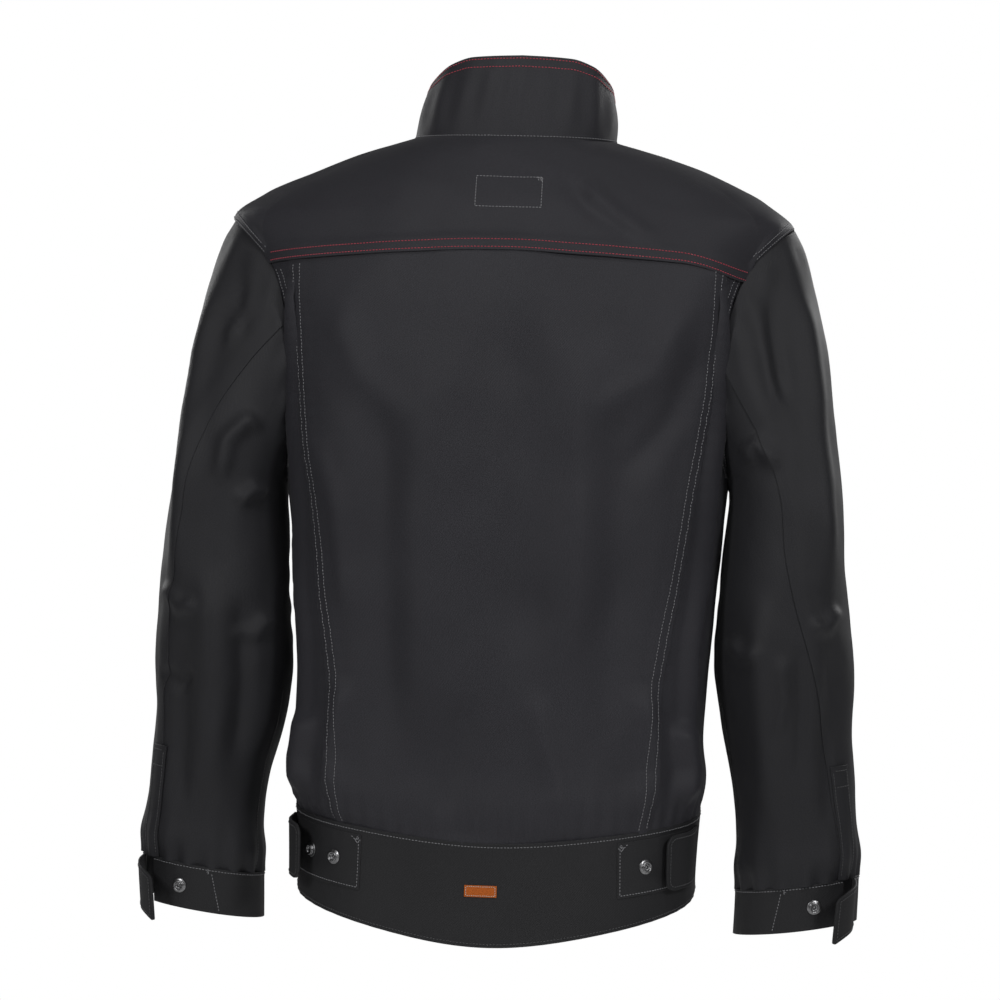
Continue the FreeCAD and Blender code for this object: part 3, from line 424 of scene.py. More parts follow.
def pucker(distance, along, reach=13.0, height=0.55, pitch=11.0):
    """Small ripples that die away from a stitched seam."""
    wobble = np.sin(along * 2 * np.pi / pitch + 1.7 * np.sin(along / 31.0))
    return height * wobble * np.exp(-np.abs(distance) / reach)


# ------------------------------------------------------------------ mesh helpers


def new_mesh(name, points, faces, uvs=None):
    mesh = bpy.data.meshes.new(name)
    mesh.from_pydata((np.asarray(points) * MM).tolist(), [], faces)
    if uvs is not None:
        layer = mesh.uv_layers.new(name="UVMap")
        corners = np.empty(len(mesh.loops), dtype=np.int32)
        mesh.loops.foreach_get("vertex_index", corners)
        layer.data.foreach_set("uv", np.asarray(uvs)[corners].ravel())
    mesh.polygons.foreach_set("use_smooth", [True] * len(mesh.polygons))
    mesh.validate()
    mesh.update()
    piece = bpy.data.objects.new(name, mesh)
    bpy.context.scene.collection.objects.link(piece)
    return piece


def edge_lines(span, spacing, edge=(0.0, 0.5, 1.3, 2.8)):
    """Shares from 0 to 1 along a length, finer beside both ends."""
    inner = max(2, int(round((span - 2 * edge[-1]) / spacing)))
    middle = np.linspace(edge[-1], span - edge[-1], inner + 1)
    start = np.array(edge[:-1])
    return np.concatenate([start, middle, span - start[::-1]]) / span


def grid_faces(rows, columns, offset=0, flip=False):
    faces = []
    for i in range(rows - 1):
        for j in range(columns - 1):
            a = offset + i * columns + j
            face = (a, a + columns, a + columns + 1, a + 1)
            faces.append(face[::-1] if flip else face)
    return faces


def double_sheet(name, outer, inner, flip):
    """A closed sheet between two grids of points, with UVs in metres of cloth."""
    rows, columns = outer.shape[:2]
    down = np.zeros((rows, columns))
    down[1:] = np.cumsum(np.linalg.norm(np.diff(outer, axis=0), axis=-1), axis=0)
    across = np.zeros((rows, columns))
    across[:, 1:] = np.cumsum(np.linalg.norm(np.diff(outer, axis=1), axis=-1), axis=1)
    across -= across[:, columns // 2][:, None]
    uvs = np.stack([across, down], axis=-1).reshape(-1, 2) * MM
    count = rows * columns
    faces = grid_faces(rows, columns, 0, flip) + grid_faces(rows, columns, count, not flip)
    rim = list(range(columns))
    rim += [i * columns + columns - 1 for i in range(1, rows)]
    rim += [(rows - 1) * columns + j for j in range(columns - 2, -1, -1)]
    rim += [i * columns for i in range(rows - 2, 0, -1)]
    for a, b in zip(rim, rim[1:] + rim[:1]):
        face = (a, b, b + count, a + count)
        faces.append(face[::-1] if flip else face)
    points = np.concatenate([outer.reshape(-1, 3), inner.reshape(-1, 3)])
    piece = new_mesh(name, points, faces, np.concatenate([uvs, uvs]))
    declare_sheet(outer, np.ptp(across), np.ptp(down))
    return piece


NARROWEST_SHEET = 10


def declare_sheet(outer, width, length):
    """Works out the flat cut of a sewn panel, its own area and the sides of the rectangle it is cut
    from; nothing is kept or returned.
    """
    first = np.cross(outer[1:, 1:] - outer[:-1, :-1], outer[1:, :-1] - outer[:-1, 1:])
    area = np.linalg.norm(first, axis=-1).sum() / 2
    longer = max(width, length)
    shorter = max(min(width, length), area / longer)
    if shorter < NARROWEST_SHEET:
        return


class Cloth:
    """One panel's displaced surface, so that stitches can be laid on it."""

    def __init__(self, skin, normal, height, side=1):
        self.skin = skin
        self.normal = normal
        self.height = height
        self.side = side

    def at(self, a, b, lift=0.0):
        a, b = np.broadcast_arrays(np.asarray(a, float), np.asarray(b, float))
        base = self.skin(a, b)
        way = self.normal(a, b)
        flipped = np.array([self.side, 1, 1])
        raised = self.height(a, b, base * flipped, way) + lift
        return (base + way * raised[..., None]) * flipped, way * flipped

    def panel(self, name, a, b, thickness):
        outer, way = self.at(a, b)
        inner = outer - way * thickness
        cross = np.cross(outer[1, 0] - outer[0, 0], outer[0, 1] - outer[0, 0])
        flip = float(np.dot(cross, way[0, 0])) < 0
        return double_sheet(name, outer, inner, flip)


def torso_normal(angle, z):
    return normal_of(torso, angle, z)


def collar_normal(angle, percent):
    return normal_of(collar, angle, percent)


# ------------------------------------------------------------------ stitches

STITCH_PITCH = 2.9
THREAD_RADIUS = 0.36


def stitch_rows(name, rows, pitch=STITCH_PITCH, radius=THREAD_RADIUS, bow=0.16):
    """Small bowed capsules of thread along lines of (points, normals)."""
    profile = [(-0.33, -0.25, 0.35), (-0.23, 0.75, 0.95), (0.0, 1.0, 1.05),
               (0.23, 0.75, 0.95), (0.33, -0.25, 0.35)]
    sides = 6
    points = []
    faces = []
    chance = np.random.default_rng(len(rows) * 7 + 1)
    for line, ways in rows:
        steps = np.linalg.norm(np.diff(line, axis=0), axis=1)
        run = np.concatenate([[0], np.cumsum(steps)])
        count = int(run[-1] // pitch)
        if count < 1:
            continue
        places = (np.arange(count) + 0.5) * pitch + chance.normal(0, 0.05, count)
        for place in places:
            spot = np.array([np.interp(place, run, line[:, k]) for k in range(3)])
            ahead = np.array([np.interp(place + 1, run, line[:, k]) for k in range(3)])
            back = np.array([np.interp(place - 1, run, line[:, k]) for k in range(3)])
            way = unit(np.array([np.interp(place, run, ways[:, k]) for k in range(3)]))
            along = unit(ahead - back)
            across = np.cross(way, along)
            start = len(points)
            for shift, rise, swell in profile:
                middle = spot + along * (shift * pitch) + way * (rise * bow)
                for k in range(sides):
                    turn = 2 * math.pi * k / sides
                    out = across * math.cos(turn) + way * math.sin(turn) * 0.8
                    points.append(middle + out * radius * swell)
            for ring in range(len(profile) - 1):
                for k in range(sides):
                    a = start + ring * sides + k
                    b = start + ring * sides + (k + 1) % sides
                    faces.append((a, b, b + sides, a + sides))
            last = start + (len(profile) - 1) * sides
            faces.append(tuple(start + k for k in range(sides - 1, -1, -1)))
            faces.append(tuple(last + k for k in range(sides)))
    return new_mesh(name, np.array(points), faces)


def path_through(corners, count):
    """Points along straight legs between corners."""
    legs = list(zip(corners, corners[1:]))
    first = np.concatenate([np.linspace(a[0], b[0], count) for a, b in legs])
    second = np.concatenate([np.linspace(a[1], b[1], count) for a, b in legs])
    return first, second


def row_on(cloth, a, b):
    return cloth.at(a, b, 0.12)


# ------------------------------------------------------------------ materials


def node_material(name):
    material = bpy.data.materials.new(name)
    material.use_nodes = True
    nodes = material.node_tree.nodes
    shader = nodes["Principled BSDF"]
    return material, nodes, material.node_tree.links, shader


def add_node(nodes, kind, **values):
    """A shader node; keyword names are its input names with underscores for spaces."""
    node = nodes.new("ShaderNode" + kind)
    for key, value in values.items():
        node.inputs[key.replace("_", " ")].default_value = value
    return node


def two_colours(nodes, low, low_at, high, high_at):
    ramp = nodes.new("ShaderNodeValToRGB")
    for element, colour, place in zip(ramp.color_ramp.elements, (low, high), (low_at, high_at)):
        element.position = place
        element.color = (*colour, 1)
    return ramp


def twill(name, colour, sheen=0.06, roughness=0.56, weave=0.35, wear=0.05):
    """Diagonal twill: fine slanted ribs, cloth grain, broad fading and a soft sheen."""
    material, nodes, links, shader = node_material(name)
    shader.inputs["Sheen Weight"].default_value = sheen
    shader.inputs["Sheen Roughness"].default_value = 0.45
    shader.inputs["Specular IOR Level"].default_value = 0.32
    shader.inputs["Coat Roughness"].default_value = 0.6

    place = nodes.new("ShaderNodeUVMap")
    place.uv_map = "UVMap"
    slant = add_node(nodes, "Mapping", Rotation=(0, 0, math.radians(58)))
    links.new(place.outputs["UV"], slant.inputs["Vector"])

    ribs = add_node(nodes, "TexWave", Scale=270.0, Distortion=1.2, Detail=1.0, Detail_Scale=2.0)
    ribs.wave_type = "BANDS"
    ribs.bands_direction = "X"
    ribs.wave_profile = "SIN"
    links.new(slant.outputs["Vector"], ribs.inputs["Vector"])

    grain = add_node(nodes, "TexNoise", Scale=950.0, Detail=3.0)
    links.new(place.outputs["UV"], grain.inputs["Vector"])

    fading = add_node(nodes, "TexNoise", Scale=7.0, Detail=5.0, Roughness=0.6)
    links.new(place.outputs["UV"], fading.inputs["Vector"])

    low = [c * 0.72 for c in colour]
    high = [c * 1.32 for c in colour]
    tint = two_colours(nodes, low, 0.30, high, 0.72)
    links.new(grain.outputs["Fac"], tint.inputs["Fac"])

    faded = nodes.new("ShaderNodeMix")
    faded.data_type = "RGBA"
    faded.blend_type = "MULTIPLY"
    faded.inputs["Factor"].default_value = 1.0
    soft = add_node(nodes, "MapRange", From_Min=0.3, From_Max=0.7,
                    To_Min=1 - wear * 2, To_Max=1 + wear * 2)
    links.new(fading.outputs["Fac"], soft.inputs["Value"])
    links.new(tint.outputs["Color"], faded.inputs["A"])
    links.new(soft.outputs["Result"], faded.inputs["B"])
    links.new(faded.outputs["Result"], shader.inputs["Base Color"])

    rough = add_node(nodes, "MapRange", To_Min=roughness - 0.08, To_Max=roughness + 0.08)
    links.new(grain.outputs["Fac"], rough.inputs["Value"])
    links.new(rough.outputs["Result"], shader.inputs["Roughness"])

    rise = nodes.new("ShaderNodeMath")
    rise.operation = "ADD"
    links.new(ribs.outputs["Fac"], rise.inputs[0])
    links.new(grain.outputs["Fac"], rise.inputs[1])
    bump = add_node(nodes, "Bump", Strength=weave, Distance=0.0003)
    links.new(rise.outputs["Value"], bump.inputs["Height"])
    links.new(bump.outputs["Normal"], shader.inputs["Normal"])
    return material


def thread(name, colour):
    material, nodes, links, shader = node_material(name)
    twist = add_node(nodes, "TexNoise", Scale=1400.0)
    low = [c * 0.65 for c in colour]
    high = [min(1, c * 1.35) for c in colour]
    tint = two_colours(nodes, low, 0.0, high, 1.0)
    links.new(twist.outputs["Fac"], tint.inputs["Fac"])
    links.new(tint.outputs["Color"], shader.inputs["Base Color"])
    shader.inputs["Roughness"].default_value = 0.55
    shader.inputs["Sheen Weight"].default_value = 0.3
    return material


def metal(name, colour, roughness):
    """Plated metal with fine scratches and dulled patches."""
    material, nodes, links, shader = node_material(name)
    shader.inputs["Metallic"].default_value = 1.0
    place = nodes.new("ShaderNodeTexCoord")
    scuffs = add_node(nodes, "TexNoise", Scale=420.0, Detail=6.0)
    links.new(place.outputs["Object"], scuffs.inputs["Vector"])
    tint = two_colours(nodes, [c * 0.6 for c in colour], 0.35, colour, 0.62)
    links.new(scuffs.outputs["Fac"], tint.inputs["Fac"])
    links.new(tint.outputs["Color"], shader.inputs["Base Color"])
    rough = add_node(nodes, "MapRange", To_Min=roughness, To_Max=roughness + 0.22)
    links.new(scuffs.outputs["Fac"], rough.inputs["Value"])
    links.new(rough.outputs["Result"], shader.inputs["Roughness"])
    return material


MATERIALS = {
    "body": twill("twill_body", (0.0345, 0.0338, 0.0405)),
    "sleeve": twill("twill_sleeve", (0.026, 0.026, 0.0295), sheen=0.05),
    "trim": twill("twill_trim", (0.0245, 0.0245, 0.0265), sheen=0.04),
    "collar": twill("twill_collar", (0.033, 0.0325, 0.038), sheen=0.05),
    "tape": twill("tape_weave", (0.018, 0.018, 0.019), sheen=0.2, weave=0.8),
    "inner_label": twill("inner_label_weave", (0.05, 0.05, 0.05), sheen=0.1),
    "orange": twill("label_weave", (0.60, 0.135, 0.012), sheen=0.15, roughness=0.6),
    "red_thread": thread("thread_red", (0.62, 0.045, 0.085)),
    "grey_thread": thread("thread_grey", (0.27, 0.27, 0.285)),
    "label_thread": thread("thread_frame", (0.33, 0.33, 0.345)),
    "dark_thread": thread("thread_dark", (0.075, 0.075, 0.08)),
    "pale_thread": thread("thread_pale", (0.72, 0.68, 0.60)),
    "snap": metal("snap_plating", (0.42, 0.42, 0.43), 0.22),
    "zip": metal("zip_metal", (0.36, 0.35, 0.33), 0.28),
}


def finish_piece(piece, look, body=None, nodes=()):
    piece.data.materials.clear()
    piece.data.materials.append(MATERIALS[look])
    if nodes:
        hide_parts(*nodes)
    if body:
        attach(piece, body)
    return piece


def sew(name, rows, look, body):
    """Rows of stitches in one colour of thread, riding on one body."""
    finish_piece(stitch_rows(name, rows), look, body)


# ------------------------------------------------------------------ torso panels

CLOTH = 1.5
LAP = 2.0
LAP_LIFT = 1.0
TWIN_GAUGE = 6.8
ROW_INSET = 2.2
pleat_x = smooth_curve([
    (-640, 174), (-560, 172), (-455, 171), (-370, 181), (-300, 185), (-190, 191),
    (-140, 190), (-105, 196),
])


def back_weight(way):
    return ease(-0.1, 0.5, way[..., 1])


def body_height(lap=None):
    """Folds, unevenness, blousing and seam puckers common to all torso panels."""

    def height(angle, z, base, way):
        x = base[..., 0]
        back = back_weight(way)
        raised = fold_heights(BODY_FOLDS, x, z, BODY_STRENGTH) * back + crumple(base, 0.9)
        over_band = z - waist_seam(angle)
        blouse = 4.2 * np.exp(-((over_band - 26) / 22) ** 2)
        raised = raised + blouse * (0.55 + 0.45 * np.abs(sin(angle)))
        along = np.radians(np.abs(angle)) * 160
        raised = raised + pucker(over_band, along, 18, 1.5, 15.0)
        edge = np.abs(np.abs(x) - princess_x(z))
        raised = raised + pucker(edge, z, 12, 0.45, 12.0) * back * (z < -110)
        quiet = ease(0, 10, over_band)
        raised = raised * np.maximum(quiet, 0.25)
        if lap is not None:
            raised = raised + lap(angle, z)
        return raised

    return height


def solve_place(first, last, lower, upper, u, v):
    """Torso coordinates of a patch between two side edges and two cross seams."""
    z = mix(lower(45.0), upper(45.0), v)
    angle = np.zeros_like(z)
    for _ in range(12):
        angle = mix(first(z), last(z), u)
        z = mix(lower(angle), upper(angle), v)
    return angle, z


def grid_of(width, height, spacing):
    u = edge_lines(width, spacing)
    v = edge_lines(height, spacing)
    return np.meshgrid(u, v, indexing="ij")


def degrees_for(length, angle, z):
    return np.degrees(length / torso_radius(angle, z))


def centre_back():
    def lap(angle, z):
        edge = princess_x(z) - np.abs(torso(angle, z)[..., 0])
        return LAP_LIFT * (1 - ease(8, 15, edge))

    cloth = Cloth(torso, torso_normal, body_height(lap))

    def side(z):
        return torso_angle(princess_x(z), z) + degrees_for(LAP, 50.0, z)

    u, v = grid_of(400, 510, 4.0)
    lower = lambda angle: waist_seam(angle) - 1
    upper = lambda angle: back_yoke_seam(angle) + 6
    angle, z = solve_place(lambda z: -side(z), side, lower, upper, u, v)
    piece = cloth.panel("centre_back_cloth", angle, z, CLOTH)
    finish_piece(piece, "body", "jacket_body", ["centre_back_panel"])

    rows = []
    heights = np.linspace(-608, -112, 260)
    for way in (-1, 1):
        for inset in (ROW_INSET, ROW_INSET + TWIN_GAUGE):
            turn = torso_angle(princess_x(heights), heights)
            turn = turn - degrees_for(inset, turn, heights)
            top = back_yoke_seam(turn) - 1
            bottom = waist_seam(turn) + 1
            keep = (heights < top) & (heights > bottom)
            rows.append(row_on(cloth, way * turn[keep], heights[keep]))
    sew("princess_stitches", rows, "grey_thread", "jacket_body")


def side_back(word, side):
    def lap(angle, z):
        x = np.abs(torso(angle, z)[..., 0])
        outward = x - pleat_x(z)
        turned = angle - torso_angle(pleat_x(z), z)
        open_part = ease(-118, -150, z) * ease(-600, -500, z)
        step = 5.5 * (1 - ease(0, 1.1, turned)) * ease(-14, -1, outward)
        return step * open_part

    cloth = Cloth(torso, torso_normal, body_height(lap), side)

    def inner(z):
        return torso_angle(princess_x(z), z) - degrees_for(3.0, 50.0, z)

    def outer(z):
        return 90.2 - np.where(z > ARM_BOTTOM, armhole_reach(z), 0)

    u, v = np.meshgrid(edge_lines(80, 2.2), edge_lines(490, 4.0), indexing="ij")
    lower = lambda angle: waist_seam(angle) - 1
    upper = lambda angle: back_yoke_seam(angle) + 5
    angle, z = solve_place(inner, outer, lower, upper, u, v)
    piece = cloth.panel(f"side_back_cloth_{word}", angle, z, CLOTH)
    finish_piece(piece, "body", "jacket_body", [f"side_back_panel_{word}"])


def zip_edge_angle(z):
    return torso_angle(11.0, z, front=True)


def front_panel(word, side):
    def lap(angle, z):
        edge = degrees_for(1.0, 175.0, z)
        return 0.8 * ease(zip_edge_angle(z) - 14 * edge, zip_edge_angle(z) - 9 * edge, angle)

    cloth = Cloth(torso, torso_normal, body_height(lap), side)

    def outer(z):
        return 89.8 + np.where(z > ARM_BOTTOM, armhole_reach(z), 0)

    u, v = grid_of(260, 480, 4.4)
    lower = lambda angle: waist_seam(angle) - 1
    upper = lambda angle: front_yoke_seam(angle) + 5
    angle, z = solve_place(outer, zip_edge_angle, lower, upper, u, v)
    piece = cloth.panel(f"front_cloth_{word}", angle, z, CLOTH)
    finish_piece(piece, "body", "jacket_body", [f"front_panel_{word}"])

    heights = np.linspace(-568, -126, 230)
    turn = zip_edge_angle(heights) - degrees_for(7.0, 175.0, heights)
    stitches = stitch_rows(f"front_edge_stitches_{word}", [row_on(cloth, turn, heights)])
    finish_piece(stitches, "grey_thread", "jacket_body")
    return cloth


def yoke_height(lap):
    def height(angle, z, base, way):
        back = back_weight(way)
        raised = fold_heights(BODY_FOLDS, base[..., 0], z, BODY_STRENGTH) * back + crumple(base, 0.6)
        return raised * 0.8 + lap(angle, z)

    return height


RIGHT_END_DIP = 9.0
LABEL_FRAME = (-30.5, 26.5, -63.5, -36.5)  # left, right, low and high edges of the stitched frame


def back_yoke():
    def lower(angle):
        turn = np.abs(angle)
        edge = back_yoke_seam(turn) - LAP - RIGHT_END_DIP * ease(58, 76, -angle)
        return np.where(turn <= YOKE_CORNER, edge, armhole_upper_edge(turn))

    def lap(angle, z):
        turn = np.abs(angle)
        rise = 1.5 * (1 - ease(10, 18, z - lower(angle)))
        return LAP_LIFT * 0.6 + rise * ease(84, 78, turn)

    cloth = Cloth(torso, torso_normal, yoke_height(lap))
    turns = np.concatenate([-edge_lines(90, 1.0)[::-1] * 90, edge_lines(90, 1.0)[1:] * 90])
    turns = np.unique(np.round(turns, 4))
    u, v = np.meshgrid(turns, edge_lines(115, 3.2), indexing="ij")
    z = mix(lower(u), neck_seam(u) + 0.5, v)
    piece = cloth.panel("back_yoke_cloth", u, z, CLOTH)
    finish_piece(piece, "body", "jacket_body", ["back_yoke"])

    turn = np.linspace(-75.5, 75.5, 420)
    red = []
    for inset in (LAP + 0.3, LAP + 0.3 + TWIN_GAUGE):
        red.append(row_on(cloth, turn, lower(turn) + inset))
    sew("yoke_stitches", red, "red_thread", "jacket_body")

    grey = []
    for side in (-1, 1):
        for inset in (3.0, 3.0 + TWIN_GAUGE):
            low = np.linspace(YOKE_CORNER, 89.9, 60)
            share = (90 - low) / ARM_SPREAD
            slope = unit(stack(share * 0 + 1, share * 0, share * 2.2))
            inner_turn = low - degrees_for(inset, low, armhole_upper_edge(low)) * slope[..., 0] * 0.6
            inner_z = armhole_upper_edge(low) + inset * 0.55
            grey.append(row_on(cloth, side * inner_turn, inner_z))
    sew("armhole_stitches_top", grey, "grey_thread", "jacket_body")

    left, right, low, high = LABEL_FRAME
    corners = [(left, high), (right, high), (right, low), (left, low), (left, high)]
    xs, zs = path_through(corners, 30)
    frame_row = row_on(cloth, torso_angle(xs, zs), zs)
    tack_x = np.repeat([left, -27, left, -28, -25, -29], 2)
    tack_z = np.repeat([high, -38.5, -40, -37.0, -36.8, -35.6], 2)
    tack = row_on(cloth, torso_angle(tack_x, tack_z), tack_z)
    patch = stitch_rows("label_frame_stitches", [frame_row, tack])
    finish_piece(patch, "label_thread", "jacket_body")


def front_yoke(word, side):
    def lower(angle):
        edge = front_yoke_seam(angle) - LAP
        return np.where(angle >= FRONT_YOKE_CORNER, edge, armhole_upper_edge(angle))

    def lap(angle, z):
        rise = 1.3 * (1 - ease(10, 18, z - lower(angle)))
        return LAP_LIFT * 0.6 + rise * ease(97, 103, angle)

    cloth = Cloth(torso, torso_normal, yoke_height(lap), side)
    last = zip_edge_angle(np.array(-74.0))
    turns = 90 + edge_lines(84, 1.1) * (last - 90)
    u, v = np.meshgrid(turns, edge_lines(110, 3.4), indexing="ij")
    z = mix(lower(u), neck_seam(u) + 0.5, v)
    piece = cloth.panel(f"front_yoke_cloth_{word}", u, z, CLOTH)
    finish_piece(piece, "body", "jacket_body", [f"front_yoke_{word}"])
    turn = np.linspace(105, float(last) - 1, 200)
    rows = [row_on(cloth, turn, lower(turn) + inset) for inset in (2.3, 2.3 + TWIN_GAUGE)]
    sew(f"front_yoke_stitches_{word}", rows, "red_thread", "jacket_body")
    high = np.linspace(-69, 1, 60)
    shoulder = row_on(cloth, 92.0 + 0 * high, high)
    sew(f"shoulder_stitches_{word}", [shoulder], "grey_thread", "jacket_body")


# ------------------------------------------------------------------ waistband

BAND_LIFT = 1.4


def band_height(angle, z, base, way):
    along = np.radians(np.abs(angle)) * 160
    top = waist_seam(angle) - z
    bottom = z - hem(angle)
    ripple = pucker(top, along, 9, 0.45, 12.0) + pucker(bottom, along, 12, 0.25, 16.0)
    return BAND_LIFT + ripple + crumple(base, 0.45)


def waistband():
    cloth = Cloth(torso, torso_normal, band_height)
    last = float(zip_edge_angle(np.array(-610.0)))
    parts = [("back", -90.0, 90.0, "waistband_back")]
    for word, side in SIDES:
        ends = sorted([side * 90.0, side * last])
        parts.append((word, ends[0], ends[1], f"waistband_front_{word}"))
    for name, start, end, node in parts:
        width = abs(end - start) * 2.6
        turns = start + edge_lines(width, 4.0) * (end - start)
        u, v = np.meshgrid(turns, edge_lines(80, 4.0), indexing="ij")
        z = mix(hem(u), waist_seam(u) + 0.8, v)
        piece = cloth.panel(f"waistband_cloth_{name}", u, z, 2.2)
        finish_piece(piece, "trim", "jacket_body", [node])
    turn = np.linspace(-last, last, 900)
    seam_row = [row_on(cloth, turn, waist_seam(turn) - 2.4)]
    sew("waistband_stitches", seam_row, "grey_thread", "jacket_body")
    hem_row = [row_on(cloth, turn, hem(turn) + 3.0)]
    sew("hem_stitches", hem_row, "dark_thread", "jacket_body")


def tack_on(cloth, place, spot, level, drop):
    """A few crossed stitches that lock the start of a row."""
    zigzag_a = place + np.array([0.0, 0.9, -0.4, 1.3, 0.3, 2.0, 3.2])
    zigzag_v = level - drop * np.array([0.0, 0.9, 1.7, 1.1, 2.9, 0.6, 0.4])
    fine_a = np.interp(np.linspace(0, 6, 50), np.arange(7), zigzag_a)
    fine_v = np.interp(np.linspace(0, 6, 50), np.arange(7), zigzag_v)
    return row_on(cloth, *spot(fine_a, fine_v))


TAB_HINGE = 80.0
TAB_HEIGHT = 48
TAB_MARGIN = 6
PATCH_START = 48.0
PATCH_END = 79.0
PATCH_LIFT = 0.7
LABEL_LIFT = 0.9


def on_band(lift, side=1):
    """The waistband's surface, raised by one more layer."""

    def height(angle, z, base, way):
        return band_height(angle, z, base, way) + lift

    return Cloth(torso, torso_normal, height, side)


def tab_z(angle, v):
    top = waist_seam(angle) - TAB_MARGIN
    return mix(top - TAB_HEIGHT, top, v)


def tab_patches():
    for word, side in SIDES:
        turns = PATCH_START + edge_lines(95, 4.0) * (PATCH_END - PATCH_START)
        u, v = np.meshgrid(turns, edge_lines(46, 4.0), indexing="ij")
        cloth = on_band(PATCH_LIFT, side)
        piece = cloth.panel(f"tab_patch_cloth_{word}", u, tab_z(u, v), 0.6)
        finish_piece(piece, "trim", "jacket_body", [f"tab_patch_{word}"])
        edge_v = np.linspace(0.96, 0.04, 40)
        row_start = PATCH_START + 0.8
        edge_u = np.full(40, row_start)
        low_u = np.linspace(row_start, PATCH_END, 60)
        rows = [
            row_on(cloth, edge_u, tab_z(edge_u, edge_v)),
            row_on(cloth, low_u, tab_z(low_u, 0.05)),
        ]
        rows.append(tack_on(cloth, row_start, lambda a, v: (a, tab_z(a, v)), 0.97, 0.045))
        sew(f"tab_patch_stitches_{word}", rows, "grey_thread", "jacket_body")


# ------------------------------------------------------------------ collar


def collar_pieces():
    def height(angle, percent, base, way):
        rise = percent / 100
        edge = 0.7 * np.sin(np.abs(angle) * 0.35) * np.sin(np.pi * rise)
        return crumple(base, 0.4) * rise + edge

    cloth = Cloth(collar, collar_normal, height)
    turns = -COLLAR_END + edge_lines(2 * COLLAR_END * 1.45, 3.6) * 2 * COLLAR_END
    u, v = np.meshgrid(turns, edge_lines(73, 3.0), indexing="ij")
    piece = cloth.panel("collar_cloth", u, v * 100, 3.2)
    finish_piece(piece, "collar", "jacket_body", ["collar_outer", "collar_facing"])
    turn = np.linspace(-COLLAR_END + 2, COLLAR_END - 2, 500)
    red = [row_on(cloth, turn, np.full(500, share)) for share in (96.5, 86.5)]
    sew("collar_stitches", red, "red_thread", "jacket_body")
    grey = [row_on(cloth, turn, np.full(500, 2.5))]
    sew("neck_stitches", grey, "grey_thread", "jacket_body")


# ------------------------------------------------------------------ sleeves


def bend(piece):
    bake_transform(piece)


def sleeve_height(word, lapped):
    folds = SLEEVE_FOLDS[word]
    seam = back_seam[word]

    def height(turn, down, base, way):
        x = base[..., 0]
        z = base[..., 2]
        back = ease(-0.15, 0.45, way[..., 1])
        free = ease(3, 45, down)
        raised = fold_heights(folds, x, z, SLEEVE_STRENGTH) * back * free + crumple(base, 1.0) * free
        above_cuff = z - cuff_seam(turn)
        along = np.radians(turn % 360) * 48
        raised = raised + pucker(above_cuff, along, 20, 2.2, 17.0)
        blouse = 2.6 * np.exp(-((above_cuff - 20) / 15) ** 2)
        raised = raised + blouse
        elbow = np.exp(-((z + 415) / 42) ** 2) * ease(0.1, -0.6, way[..., 1])
        raised = raised + 1.6 * elbow * np.sin((z + 0.25 * x) / 4.6)
        cap = 1.1 * (1 - ease(8, 26, down)) * np.sin(turn * 0.35)
        raised = raised + cap * ease(2, 10, down)
        if lapped:
            edge = (seam(down) - turn) * 0.95
            raised = raised + 1.0 * (1 - ease(8, 15, edge))
        return raised

    return height


def cuff_down(turn, z_above=0.0):
    return down_at(cuff_seam(turn) + z_above)


def sleeves(word, side):
    seam = back_seam[word]
    outer = Cloth(sleeve, sleeve_normal, sleeve_height(word, True), side)
    under = Cloth(sleeve, sleeve_normal, sleeve_height(word, False), side)
    v = edge_lines(570, 4.0)
    for name, cloth, first, last, width in (
        ("outer", outer, lambda d: INNER_SEAM - 360 - 1.0, lambda d: seam(d) + 1.6, 330),
        ("under", under, lambda d: seam(d) - 3.0, lambda d: INNER_SEAM + 0.0, 130),
    ):
        u, w = np.meshgrid(edge_lines(width, 4.0), v, indexing="ij")
        turn = mix(first(200.0), last(200.0), u)
        down = np.zeros_like(turn)
        for _ in range(8):
            down = mix(0.5, cuff_down(turn, -0.8), w)
            turn = mix(first(down), last(down), u)
        piece = cloth.panel(f"sleeve_{name}_cloth_{word}", turn, down, CLOTH)
        nodes = [f"upper_sleeve_{name}_{word}", f"lower_sleeve_{name}_{word}"]
        finish_piece(piece, "sleeve", None, nodes)
        bend(piece)

    down = np.linspace(260, cuff_down(160.0) - 2, 180)
    inner_row = [row_on(outer, np.full(180, INNER_SEAM - 360 + 1.8), down)]
    stitches = stitch_rows(f"sleeve_inner_stitches_{word}", inner_row)
    finish_piece(stitches, "dark_thread")
    bend(stitches)

    # twin rows on the body side of the armhole, behind and in front
    for kind, facing in (("back", -1), ("front", 1)):
        heights = np.linspace(-118, -292, 120)
        rows = []
        for inset in (2.5, 2.5 + TWIN_GAUGE):
            reach = armhole_reach(heights) + degrees_for(inset, 80.0, heights)
            angle = 90 + facing * reach
            surface = Cloth(torso, torso_normal, body_height(), side)
            rows.append(row_on(surface, angle, heights))
        sew(f"armhole_stitches_{kind}_{word}", rows, "grey_thread", "jacket_body")


# ------------------------------------------------------------------ cuffs and their loose ends

CUFF_HEIGHT = 40
CUFF_HINGE = 28.0
CUFF_UNDER = 42.0
CUFF_STUD = 74.0


def cuff_z(turn, v):
    top = cuff_seam(turn) - 0.3
    return mix(top - CUFF_HEIGHT, top, v)


def cuff_height(turn, down, base, way):
    along = np.radians(turn % 360) * 48
    z = base[..., 2]
    return 1.3 + pucker(cuff_seam(turn) - z, along, 8, 0.4, 12.0) + crumple(base, 0.3)


